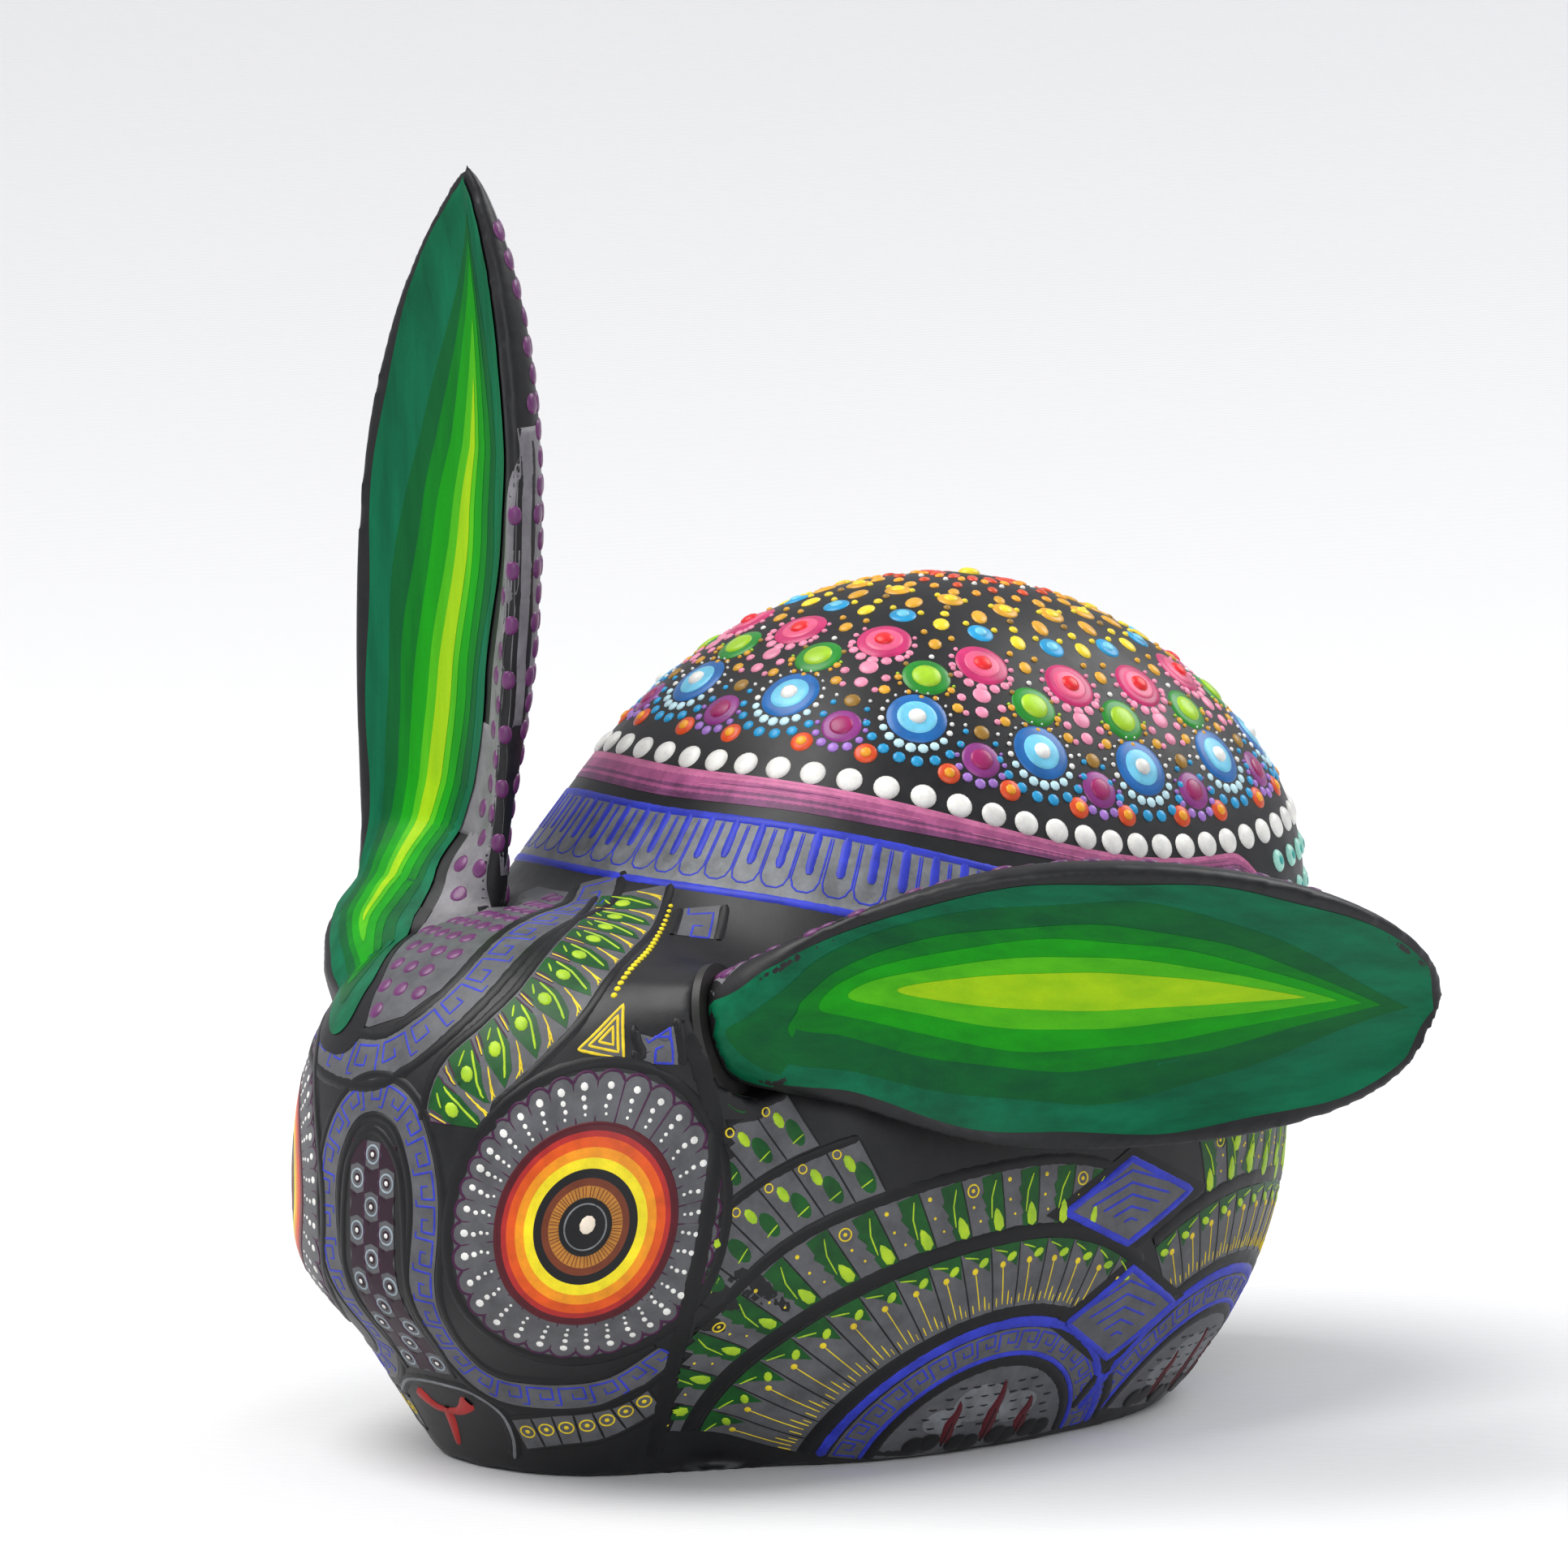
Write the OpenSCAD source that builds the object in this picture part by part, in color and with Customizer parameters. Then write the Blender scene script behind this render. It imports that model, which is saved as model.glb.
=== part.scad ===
// Carved and painted copal-wood rabbit with one ear up and one ear laid back.
// The rabbit faces -Y, its left side is +X, the floor is Z = 0 under the middle of the base.

/* [Trunk] */
// Half the width of the crouching trunk, side to side
trunk_half_w = 37; // [25:0.5:50]
// Half the length of the trunk, nose to tail
trunk_half_l = 46; // [35:0.5:60]
// How far the middle of the trunk lies behind the origin (negative is towards the nose)
trunk_mid_y = -11; // [-20:0.5:5]
// Height of the widest part of the trunk above the floor
trunk_mid_z = 28; // [18:0.5:36]
// Height of the back above the widest part
dome_rise = 54; // [40:0.5:65]
// Depth of the belly curve below the widest part
belly_drop = 41; // [34:0.5:55]
// How far the top of the back leans towards the tail
dome_lean = 12; // [0:0.5:20]
// Squareness of the trunk seen from above (2 is an ellipse)
trunk_square = 2.5; // [2:0.1:4]
// Radius of the short tail carved at the rear
tail_r = 8; // [5:0.5:12]
// Height of the middle of the tail above the floor
tail_z = 15; // [9:0.5:25]

/* [Head] */
// Half the width of the head across the cheeks
head_half_w = 27.5; // [20:0.5:36]
// Half the length of the head from nape to nose
head_half_l = 26; // [20:0.5:36]
// How far the middle of the head lies in front of the origin
head_mid_y = -45; // [-55:0.5:-38]
// Height of the widest part of the head
head_mid_z = 26; // [20:0.5:34]
// Height of the crown above the widest part
crown_rise = 27.5; // [20:0.5:34]
// Width of the chin at the floor as a part of the cheek width
chin_ratio = 0.52; // [0.35:0.01:0.8]
// Height at which the muzzle starts to narrow towards the chin
muzzle_z = 24; // [16:0.5:30]
// Radius of the hollow between head and trunk
neck_blend = 4; // [1:0.5:10]
// Radius of the raised brow ridge
brow_r = 2.6; // [1:0.1:4]

/* [Upright ear] */
// Height of the ear seat above the floor
up_seat_z = 47; // [46:0.5:56]
// Distance of the ear seat from the middle plane
up_seat_x = 19; // [12:0.5:24]
// Length of the ear above its seat
up_len = 78; // [50:1:100]
// Half the greatest width of the ear
up_half_w = 12.4; // [7:0.1:16]
// Depth of the rounded back of the ear
up_back = 7.5; // [4:0.1:12]
// Depth of the hollow in the front of the ear
up_hollow = 3.2; // [1:0.1:5]

/* [Folded ear] */
// Length of the ear along the flank
fold_len = 76; // [55:1:95]
// Half the greatest height of the ear
fold_half_w = 15.2; // [8:0.1:18]
// Depth of the rounded back of the ear
fold_back = 7; // [4:0.1:12]
// Depth of the hollow in the face of the ear
fold_hollow = 3; // [1:0.1:5]

/* [Pegs] */
// Diameter of the hidden pegs that hold the ears
peg_d = 3.5; // [3:0.1:6]
// Length of each peg
peg_len = 13; // [10:0.5:20]
// Play between a peg and its hole
peg_play = 0.15; // [0.05:0.05:0.4]
// Thickness of the paste bed between an ear and the head
bed_t = 0.8; // [0.4:0.1:2]

/* [Paint drops] */
// Number of repeats round the pattern on the back
repeats = 14; // [10:1:20]
// Angle from the middle of the pattern to its white border
border_angle = 47.5; // [35:0.5:60]
// Number of white beads in the border
border_beads_n = 60; // [40:1:80]
// Diameter of a white border bead
bead_d = 2.5; // [1.5:0.1:3.5]
// Diameter of a large blue disc
blue_d = 6; // [4:0.1:7]
// Diameter of a large pink disc
pink_d = 5.4; // [4:0.1:7]
// Diameter of a green disc
green_d = 4.8; // [3:0.1:6]
// Diameter of a violet disc
violet_d = 3.9; // [2.5:0.1:5]
// Diameter of a small blue, gold or orange drop
small_d = 2.6; // [1.5:0.1:3]
// Diameter of a turquoise bead under the border
turquoise_d = 2.2; // [1.5:0.1:3]
// Diameter of the flower in the middle of the pattern
flower_d = 9; // [6:0.5:11]
// Height of a drop at its middle as a part of its diameter
drop_rise = 0.2; // [0.1:0.01:0.35]
// Diameter of a purple dot on the back of an ear
ear_dot_d = 2; // [1.2:0.1:3]
// Distance between the middles of neighbouring purple dots
ear_dot_pitch = 3.1; // [2.4:0.1:5]

/* [Hidden] */
star = [0, -28, 27];               // every point of the carved block can be seen from here
around = 90;                       // facets round the block
rows = 42;                         // facets from the top of the back to the floor
end_crowding = 11.5;               // degrees by which the facets crowd towards nose and tail
lean_run = 36;                     // height over which the back leans towards the tail
muzzle_run = 13;                   // height over which the muzzle narrows
chin_flare = 0.023;                // widening of the muzzle for each mm above the floor
tail_mid = [0, trunk_mid_y + trunk_half_l, tail_z];
brow_pts = [[12, -63.5, 39], [17, -56, 45], [18.5, -45, 46.5]];
brow_fair = 2;                     // hollow beside the brow ridge
stump_fair = 3;                    // hollow round the ear stumps and the tail
up_stump = [10.6, 6];              // half width and half depth of the stump under the upright ear
fold_stump_r = 6.4;                // radius of the stump under the folded ear

ear_stations = 26;                 // cross-sections along an ear
ear_half_pts = 13;                 // points across the back of an ear, and across its face
rim_w = 1.9;                       // width of the rounded rim round the face of an ear
rim_rise = 0.9;
foot_depth = 4.6;                  // half the depth of an ear where it meets its bed
foot_swell = 0.95;                 // how soon an ear widens above its foot, less is sooner
seat_margin = 1.4;                 // how far the seat reaches past the foot of the ear
seat_cut_h = 8;

up_base = [-up_seat_x, -47.5, up_seat_z];
up_mid = [-19, -48.5, up_seat_z + up_len * 0.5];
up_tip = [-16, -45.5, up_seat_z + up_len];
up_face = [-0.05, -1, 0.05];
fold_base = [25.1, -48.9, 45];
fold_mid = fold_base + 0.42 * fold_len * [1.0, 0.46, 0.2];
fold_tip = fold_base + fold_len * [0.375, 0.89, -0.055];
fold_face = [0.92, -0.26, -0.29];

pattern_tilt = 7.7;                // the painted pattern leans towards the tail
pattern_c = [0, 0, 30];            // the pattern is drawn on the back as seen from here
drop_facets = 24;
$fn = 64;

// ---- small helpers ----
function clamp01(t) = min(1, max(0, t));
function ease(t) = let(c = clamp01(t)) c * c * (3 - 2 * c);
function unit(v) = v / norm(v);
function blend(a, b, r) = let(h = max(r - abs(a - b), 0) / r) min(a, b) - h * h * r / 4;
function super2(u, v, n) = pow(pow(abs(u), n) + pow(abs(v), n), 1 / n);
function segment_gap(p, a, b) = let(ab = b - a, t = clamp01((p - a) * ab / (ab * ab))) norm(p - a - t * ab);

// ---- shape of the carved block: negative inside ----
function trunk_y(z) = trunk_mid_y + dome_lean * ease((z - trunk_mid_z) / lean_run);
function trunk_f(p) =
    let(r = super2(p.x / trunk_half_w, (p.y - trunk_y(p.z)) / trunk_half_l, trunk_square),
        h = (p.z - trunk_mid_z) / (p.z > trunk_mid_z ? dome_rise : belly_drop))
    (norm([r, h]) - 1) * trunk_half_w;
function muzzle(z) = let(s = ease((z - muzzle_z + muzzle_run) / muzzle_run))
    (chin_ratio + chin_flare * z) * (1 - s) + 1.03 * s;
function head_f(p) =
    let(k = muzzle(max(0, p.z)),
        r = super2(p.x / head_half_w, (p.y - head_mid_y) / head_half_l, 2.2) / k,
        h = max(0, p.z - head_mid_z) / crown_rise)
    (super2(r, h, 2.6) - 1) * head_half_w;
function brow_f(p) = let(q = [abs(p.x), p.y, p.z])
    min(segment_gap(q, brow_pts[0], brow_pts[1]), segment_gap(q, brow_pts[1], brow_pts[2])) - brow_r;
function stump_f(p) =
    let(a = p - up_base, b = p - fold_base, d = unit(fold_mid - fold_base), reach = b * d)
    min(norm([a.x / up_stump.x, a.y / up_stump.y, max(0, abs(a.z + 8) - 9) / 3]) - 1,
        norm([norm(b - reach * d) / fold_stump_r, max(0, abs(reach + 4) - 5) / 3]) - 1) * up_stump.y;
function tail_f(p) = norm(p - tail_mid) - tail_r;
function body_f(p) = let(block = blend(trunk_f(p), head_f(p), neck_blend))
    blend(blend(blend(block, brow_f(p), brow_fair), stump_f(p), stump_fair), tail_f(p), stump_fair);

function root_r(o, d, lo, hi, n) = n == 0 ? (lo + hi) / 2
    : let(m = (lo + hi) / 2) body_f(o + m * d) < 0 ? root_r(o, d, m, hi, n - 1) : root_r(o, d, lo, m, n - 1);
function skin(o, d) = o + root_r(o, d, 4, 90, 18) * d;
function skin_n(p) = let(e = 0.2)
    unit([body_f(p + [e, 0, 0]) - body_f(p - [e, 0, 0]), body_f(p + [0, e, 0]) - body_f(p - [0, e, 0]),
          body_f(p + [0, 0, e]) - body_f(p - [0, 0, e])]);

// ---- ears: a centre curve carrying a leaf-shaped section ----
function on_curve(c, t) = (1 - t) * (1 - t) * c[0] + 2 * t * (1 - t) * c[1] + t * t * c[2];
function along(c, t) = unit(2 * (1 - t) * (c[1] - c[0]) + 2 * t * (c[2] - c[1]));
function leaf(t, foot, point) = t > 0.5 ? pow(1 - pow((t - 0.5) * 2, 2.2), point)
    : foot + (1 - foot) * pow(sin(90 * clamp01(t * 2)), foot_swell);
// an ear is [curve, face direction, half width, back depth, hollow, foot width part, bluntness of the tip]
up_ear = [[up_base, up_mid, up_tip], up_face, up_half_w, up_back, up_hollow, 0.8, 0.85];
fold_ear = [[fold_base, fold_mid, fold_tip], fold_face, fold_half_w, fold_back, fold_hollow, 0.37, 0.42];
function side_dir(e, t) = unit(cross(along(e[0], t), e[1]));
function face_dir(e, t) = cross(side_dir(e, t), along(e[0], t));
function half_w(e, t) = max(0.02, e[2] * leaf(t, e[5], e[6]));
function back_d(e, t) = let(l = half_w(e, t) / e[2]) e[3] * pow(l, 0.75) * ease(0.12 + t * 2) + 0.02;
function foot_mix(t) = 1 - ease((t - 0.06) / 0.13);
function front_v(e, t, q) =
    let(w = half_w(e, t), rim = clamp01(rim_w / w), qi = 1 - rim, l = w / e[2])
    q < qi ? -e[4] * l * (1 - pow(q / qi, 2)) : rim_rise * l * sin(180 * (q - qi) / max(rim, 0.01));
function section(e, t, a) =
    let(m = foot_mix(t), w = half_w(e, t), u = w * cos(a),
        leaf_v = sin(a) >= 0 ? -back_d(e, t) * pow(sin(a), 0.8) : front_v(e, t, abs(cos(a))),
        foot_v = -foot_depth * sin(a))
    on_curve(e[0], t) + u * side_dir(e, t) + (m * foot_v + (1 - m) * leaf_v) * face_dir(e, t);
function back_n(e, t, a) =
    let(p = section(e, t, a), du = section(e, t, a + 2) - p, dv = section(e, t + 0.01, a) - p)
    unit(cross(du, dv));
function station(i) = let(x = i / ear_stations) x * (1.4 - 0.4 * x * x);
function angle_at(j) = j < ear_half_pts ? 180 * j / ear_half_pts
    : let(x = (j - ear_half_pts) / ear_half_pts) 180 + 90 * (1 - cos(180 * x)) * 0.45 + 180 * x * 0.55;

module ear_solid(e) {
    m = 2 * ear_half_pts;
    pts = [for (i = [0:ear_stations - 1], j = [0:m - 1]) section(e, station(i), angle_at(j))];
    top = len(pts);
    faces = concat(
        [for (i = [0:ear_stations - 2], j = [0:m - 1]) let(a = i * m + j, b = i * m + (j + 1) % m) each
            [[a, b, b + m], [a, b + m, a + m]]],
        [for (j = [0:m - 1]) let(r = (ear_stations - 1) * m) [r + j, r + (j + 1) % m, top]],
        [for (j = [1:m - 2]) [0, j + 1, j]]);
    polyhedron(concat(pts, [e[0][2]]), faces);
}
module point_along(d) {
    rotate([0, acos(d.z), atan2(d.y, d.x)]) children();
}
module peg_shape(e, extra_d, extra_l) {
    d = along(e[0], 0);
    translate(e[0][0]) point_along(d) translate([0, 0, -peg_len / 2 - extra_l])
        cylinder(d = peg_d + extra_d, h = peg_len + 2 * extra_l);
}

// ---- paint drops: low domes with their feet on the surface ----
module drop(p, n, d) {
    h = drop_rise * d * (d > 4 ? 0.7 : 1) + 0.1;
    r = (d * d / 4 + h * h) / (2 * h);
    translate(p - (0.04 + d * d / 320) * n) point_along(n) rotate_extrude($fn = drop_facets) intersection() {
        translate([0, h - r]) circle(r = r, $fn = 96);
        square([d, h]);
    }
}
function pattern_dir(polar, az) =
    let(v = [sin(polar) * sin(az), -sin(polar) * cos(az), cos(polar)])
    [v.x, v.y * cos(pattern_tilt) + v.z * sin(pattern_tilt),
        v.z * cos(pattern_tilt) - v.y * sin(pattern_tilt)];
module pattern_drop(polar, az, d) {
    p = skin(pattern_c, pattern_dir(polar, az));
    drop(p, skin_n(p), d);
}
module ring_of_drops(polar, n, d, phase = 0) {
    for (i = [0:n - 1]) pattern_drop(polar, (i + phase) * 360 / n, d);
}
module ear_dots(e) {
    long = norm(e[0][2] - e[0][0]);
    for (i = [0:floor(0.8 * long / (ear_dot_pitch * 0.87))]) {
        t = 0.13 + i * ear_dot_pitch * 0.87 / long;
        girth = half_w(e, t) * 1.2 + back_d(e, t) * 1.1;
        n = floor(2 * girth / ear_dot_pitch);
        for (j = [0:n]) {
            a = 90 + (j - n / 2 + (i % 2 - 0.5) / 2) * 90 * ear_dot_pitch / girth;
            if (a > 17 && a < 163 && t < 0.93) drop(section(e, t, a), back_n(e, t, a), ear_dot_d);
        }
    }
}

// ---- parts ----
function round_angle(j) = let(a = 360 * j / around) a + end_crowding * sin(2 * a);
module body() {
    floor_r = [for (j = [0:around - 1]) let(a = round_angle(j))
        root_r([star.x, star.y, 0], [cos(a), sin(a), 0], 4, 90, 18)];
    pts = [for (i = [1:rows], j = [0:around - 1])
        let(a = round_angle(j), polar = (180 - atan2(floor_r[j], star.z)) * i / rows)
        i == rows ? [star.x + floor_r[j] * cos(a), star.y + floor_r[j] * sin(a), 0]
        : skin(star, [sin(polar) * cos(a), sin(polar) * sin(a), cos(polar)])];
    top = len(pts);
    faces = concat(
        [for (j = [0:around - 1]) [top, (j + 1) % around, j]],
        [for (i = [0:rows - 2], j = [0:around - 1])
            let(a = i * around + j, b = i * around + (j + 1) % around) each
            [[a, b, b + around], [a, b + around, a + around]]],
        [[for (j = [0:around - 1]) (rows - 1) * around + j]]);
    color([0.86, 0.78, 0.62]) difference() {
        polyhedron(concat(pts, [skin(star, [0, 0, 1])]), faces);
        seat_cut(up_ear);
        seat_cut(fold_ear);
        peg_shape(up_ear, 2 * peg_play, 0.5);
        peg_shape(fold_ear, 2 * peg_play, 0.5);
    }
}
module on_seat(e) {
    s = side_dir(e, 0);
    d = along(e[0], 0);
    f = cross(d, s);
    o = e[0][0];
    multmatrix([[s.x, f.x, d.x, o.x], [s.y, f.y, d.y, o.y], [s.z, f.z, d.z, o.z], [0, 0, 0, 1]]) children();
}
module seat_cut(e) {
    on_seat(e) translate([0, 0, -bed_t]) scale([half_w(e, 0) + seat_margin, foot_depth + seat_margin, 1])
        cylinder(r = 1, h = seat_cut_h);
}
module bed(e) {
    color([0.72, 0.6, 0.42]) on_seat(e) translate([0, 0, -bed_t]) difference() {
        scale([half_w(e, 0) + seat_margin - 0.1, foot_depth + seat_margin - 0.1, 1])
            cylinder(r = 1, h = bed_t);
        translate([0, 0, -1]) cylinder(d = peg_d + 2 * peg_play, h = bed_t + 2);
    }
}
module ear(e) {
    color([0.16, 0.5, 0.3]) difference() {
        ear_solid(e);
        peg_shape(e, 2 * peg_play, 0.5);
    }
}
module peg_of(e) {
    color([0.8, 0.68, 0.46]) peg_shape(e, 0, 0);
}

module upright_ear() { ear(up_ear); }
module folded_ear() { ear(fold_ear); }
module upright_ear_peg() { peg_of(up_ear); }
module folded_ear_peg() { peg_of(fold_ear); }
module upright_ear_bed() { bed(up_ear); }
module folded_ear_bed() { bed(fold_ear); }
module upright_ear_dots() { color([0.45, 0.22, 0.45]) ear_dots(up_ear); }
module folded_ear_dots() { color([0.45, 0.22, 0.45]) ear_dots(fold_ear); }
module border_beads() { color([0.95, 0.94, 0.9]) ring_of_drops(border_angle, border_beads_n, bead_d); }
module turquoise_beads() {
    color([0.3, 0.75, 0.7]) for (row = [1:3], i = [0:border_beads_n - 1]) {
        az = (i + row / 2) * 360 / border_beads_n;
        if (abs(az - 180) < 66 - 4 * row) pattern_drop(border_angle + 4.1 * row, az, turquoise_d);
    }
}
module pink_drops() { color([0.8, 0.15, 0.42]) ring_of_drops(26, repeats, pink_d); }
module green_drops() { color([0.15, 0.55, 0.15]) ring_of_drops(30.5, repeats, green_d, 0.5); }
module blue_drops() { color([0.05, 0.35, 0.7]) ring_of_drops(37, repeats, blue_d, 0.5); }
module violet_drops() { color([0.5, 0.15, 0.45]) ring_of_drops(40.5, repeats, violet_d); }
module small_blue_drops() { color([0.1, 0.6, 0.85]) ring_of_drops(20.2, repeats, small_d); }
module gold_drops() { color([0.85, 0.65, 0.1]) ring_of_drops(14, repeats, small_d, 0.5); }
module orange_drops() {
    color([0.9, 0.3, 0.1]) for (side = [-1, 1]) ring_of_drops(43.6, repeats, small_d * 0.85, side * 0.22);
}
module flower_drop() { color([0.85, 0.25, 0.12]) pattern_drop(0, 0, flower_d); }

body();
upright_ear();
folded_ear();
upright_ear_peg();
folded_ear_peg();
upright_ear_bed();
folded_ear_bed();
upright_ear_dots();
folded_ear_dots();
border_beads();
turquoise_beads();
pink_drops();
green_drops();
blue_drops();
violet_drops();
small_blue_drops();
gold_drops();
orange_drops();
flower_drop();
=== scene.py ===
"""Looks of a carved copal-wood rabbit painted in the Oaxacan manner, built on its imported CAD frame.

Lengths are millimetres until a mesh is made. The rabbit faces -Y and its left side is +X. All painting is
thin raised geometry laid on the carved surfaces: strokes, dots and filled areas, gathered into one piece for
each colour.
"""

import math
import random

import bpy
import numpy as np
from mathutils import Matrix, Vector
from mathutils.bvhtree import BVHTree
from mathutils.geometry import delaunay_2d_cdt


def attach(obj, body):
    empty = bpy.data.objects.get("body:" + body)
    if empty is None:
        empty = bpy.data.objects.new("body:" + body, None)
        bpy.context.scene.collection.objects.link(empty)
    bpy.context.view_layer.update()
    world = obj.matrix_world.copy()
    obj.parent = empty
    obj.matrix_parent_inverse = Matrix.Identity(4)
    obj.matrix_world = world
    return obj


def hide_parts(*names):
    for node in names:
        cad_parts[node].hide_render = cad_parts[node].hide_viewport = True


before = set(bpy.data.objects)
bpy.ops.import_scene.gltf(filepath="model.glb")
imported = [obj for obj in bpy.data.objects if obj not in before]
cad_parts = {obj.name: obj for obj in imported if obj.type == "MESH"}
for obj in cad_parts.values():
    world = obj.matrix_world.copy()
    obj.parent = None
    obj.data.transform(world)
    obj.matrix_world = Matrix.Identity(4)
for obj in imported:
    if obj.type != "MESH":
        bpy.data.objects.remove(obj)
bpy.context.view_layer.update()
rng = random.Random(11)
MM = 0.001
UP = Vector((0, 0, 1))

# ------------------------------------------------------------------ camera, light, floor
VIEW_AZIMUTH = 47.0
VIEW_ELEVATION = 8.5
VIEW_DISTANCE = 1300.0
FIELD = 155.5          # width of the view at the figure
VIEW_TARGET = Vector((-6.2, -12.4, 61.7))


def view_axes():
    a, e = math.radians(VIEW_AZIMUTH), math.radians(VIEW_ELEVATION)
    back = Vector((math.sin(a) * math.cos(e), -math.cos(a) * math.cos(e), math.sin(e)))
    right = Vector((math.cos(a), math.sin(a), 0))
    return right, back.cross(right), back


def add_camera():
    back = view_axes()[2]
    data = bpy.data.cameras.new("camera")
    data.sensor_width = 36.0
    data.lens = data.sensor_width * VIEW_DISTANCE / FIELD
    data.clip_start, data.clip_end = 0.05, 20.0
    data.dof.use_dof = False
    cam = bpy.data.objects.new("camera", data)
    cam.location = (VIEW_TARGET + back * VIEW_DISTANCE) * MM
    cam.rotation_euler = back.to_track_quat("Z", "Y").to_euler()
    bpy.context.scene.collection.objects.link(cam)
    bpy.context.scene.camera = cam


def add_area_light(name, place, size, watts, colour=(1, 1, 1)):
    data = bpy.data.lights.new(name, "AREA")
    data.shape = "DISK"
    data.size = size
    data.energy = watts
    data.color = colour
    lamp = bpy.data.objects.new(name, data)
    lamp.location = place
    aim = Vector((0, -0.01, 0.05)) - Vector(place)
    lamp.rotation_euler = aim.to_track_quat("-Z", "Y").to_euler()
    bpy.context.scene.collection.objects.link(lamp)


def add_studio():
    add_area_light("key", (-0.30, -0.45, 0.95), 0.9, 13.0, (1.0, 0.99, 0.97))
    add_area_light("fill", (0.95, -0.55, 0.50), 0.9, 5.0, (0.97, 0.98, 1.0))
    add_area_light("rim", (0.10, 0.80, 0.70), 0.6, 4.5)
    world = bpy.data.worlds.new("studio")
    world.use_nodes = True
    world.node_tree.nodes["Background"].inputs["Color"].default_value = (0.93, 0.95, 1.0, 1)
    world.node_tree.nodes["Background"].inputs["Strength"].default_value = 0.60
    bpy.context.scene.world = world
    bpy.context.scene.view_settings.view_transform = "Standard"


# ------------------------------------------------------------------ materials
def new_material(name):
    mat = bpy.data.materials.new(name)
    mat.use_nodes = True
    tree = mat.node_tree
    return mat, tree, tree.nodes["Principled BSDF"]


def add_node(tree, kind, **inputs):
    node = tree.nodes.new(kind)
    for key, value in inputs.items():
        node.inputs[key.replace("_", " ")].default_value = value
    return node


def shade(colour, k):
    return tuple(min(1.0, c * k) for c in colour) + (1,)


def colour_ramp(tree, source, dark, light, ends=(0.0, 1.0)):
    """A ramp from dark to light, driven by a texture node and put on the shader's base colour."""
    ramp = add_node(tree, "ShaderNodeValToRGB")
    for element, position, colour in zip(ramp.color_ramp.elements, ends, (dark, light)):
        element.position = position
        element.color = colour
    tree.links.new(source.outputs["Fac"], ramp.inputs["Fac"])
    tree.links.new(ramp.outputs["Color"], tree.nodes["Principled BSDF"].inputs["Base Color"])
    return ramp


def relief(tree, height, strength, distance):
    bump = add_node(tree, "ShaderNodeBump", Strength=strength, Distance=distance)
    tree.links.new(height, bump.inputs["Height"])
    tree.links.new(bump.outputs["Normal"], tree.nodes["Principled BSDF"].inputs["Normal"])


def acrylic(name, colour, other=None, rough=0.42, streak=(1, 1, 1), coat=0.12, shine=0.28):
    """Hand-brushed satin acrylic: uneven cover, fine pigment grain and shallow brush marks."""
    mat, tree, bsdf = new_material(name)
    link = tree.links.new
    coords = add_node(tree, "ShaderNodeTexCoord")
    stretch = add_node(tree, "ShaderNodeMapping", Scale=streak)
    link(coords.outputs["Object"], stretch.inputs["Vector"])
    brush = add_node(tree, "ShaderNodeTexNoise", Scale=420.0, Detail=6.0, Roughness=0.6)
    pigment = add_node(tree, "ShaderNodeTexNoise", Scale=5200.0, Detail=3.0, Roughness=0.7)
    link(stretch.outputs["Vector"], brush.inputs["Vector"])
    link(coords.outputs["Object"], pigment.inputs["Vector"])
    dark = shade(other or colour, 1.0 if other else 0.78)
    ramp = colour_ramp(tree, brush, dark, shade(colour, 1.12), (0.33, 0.68))
    speck = add_node(tree, "ShaderNodeMix", Factor=0.275)
    speck.data_type = "RGBA"
    speck.blend_type = "MULTIPLY"
    link(ramp.outputs["Color"], speck.inputs[6])
    link(pigment.outputs["Color"], speck.inputs[7])
    link(speck.outputs[2], bsdf.inputs["Base Color"])
    gloss = add_node(tree, "ShaderNodeMapRange", To_Min=rough - 0.1, To_Max=rough + 0.14)
    link(brush.outputs["Fac"], gloss.inputs["Value"])
    link(gloss.outputs["Result"], bsdf.inputs["Roughness"])
    height = add_node(tree, "ShaderNodeMath")
    height.operation = "ADD"
    link(brush.outputs["Fac"], height.inputs[0])
    link(pigment.outputs["Fac"], height.inputs[1])
    relief(tree, height.outputs["Value"], 0.25, 0.00006)
    bsdf.inputs["Specular IOR Level"].default_value = shine
    bsdf.inputs["Coat Weight"].default_value = coat
    bsdf.inputs["Coat Roughness"].default_value = 0.3
    return mat


def bare_wood(name, colour):
    mat, tree, bsdf = new_material(name)
    link = tree.links.new
    coords = add_node(tree, "ShaderNodeTexCoord")
    stretch = add_node(tree, "ShaderNodeMapping", Scale=(6, 6, 1))
    grain = add_node(tree, "ShaderNodeTexNoise", Scale=260.0, Detail=8.0, Distortion=1.2)
    link(coords.outputs["Object"], stretch.inputs["Vector"])
    link(stretch.outputs["Vector"], grain.inputs["Vector"])
    colour_ramp(tree, grain, shade(colour, 0.6), shade(colour, 1.2))
    relief(tree, grain.outputs["Fac"], 0.3, 0.0001)
    bsdf.inputs["Roughness"].default_value = 0.65
    return mat


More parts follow.
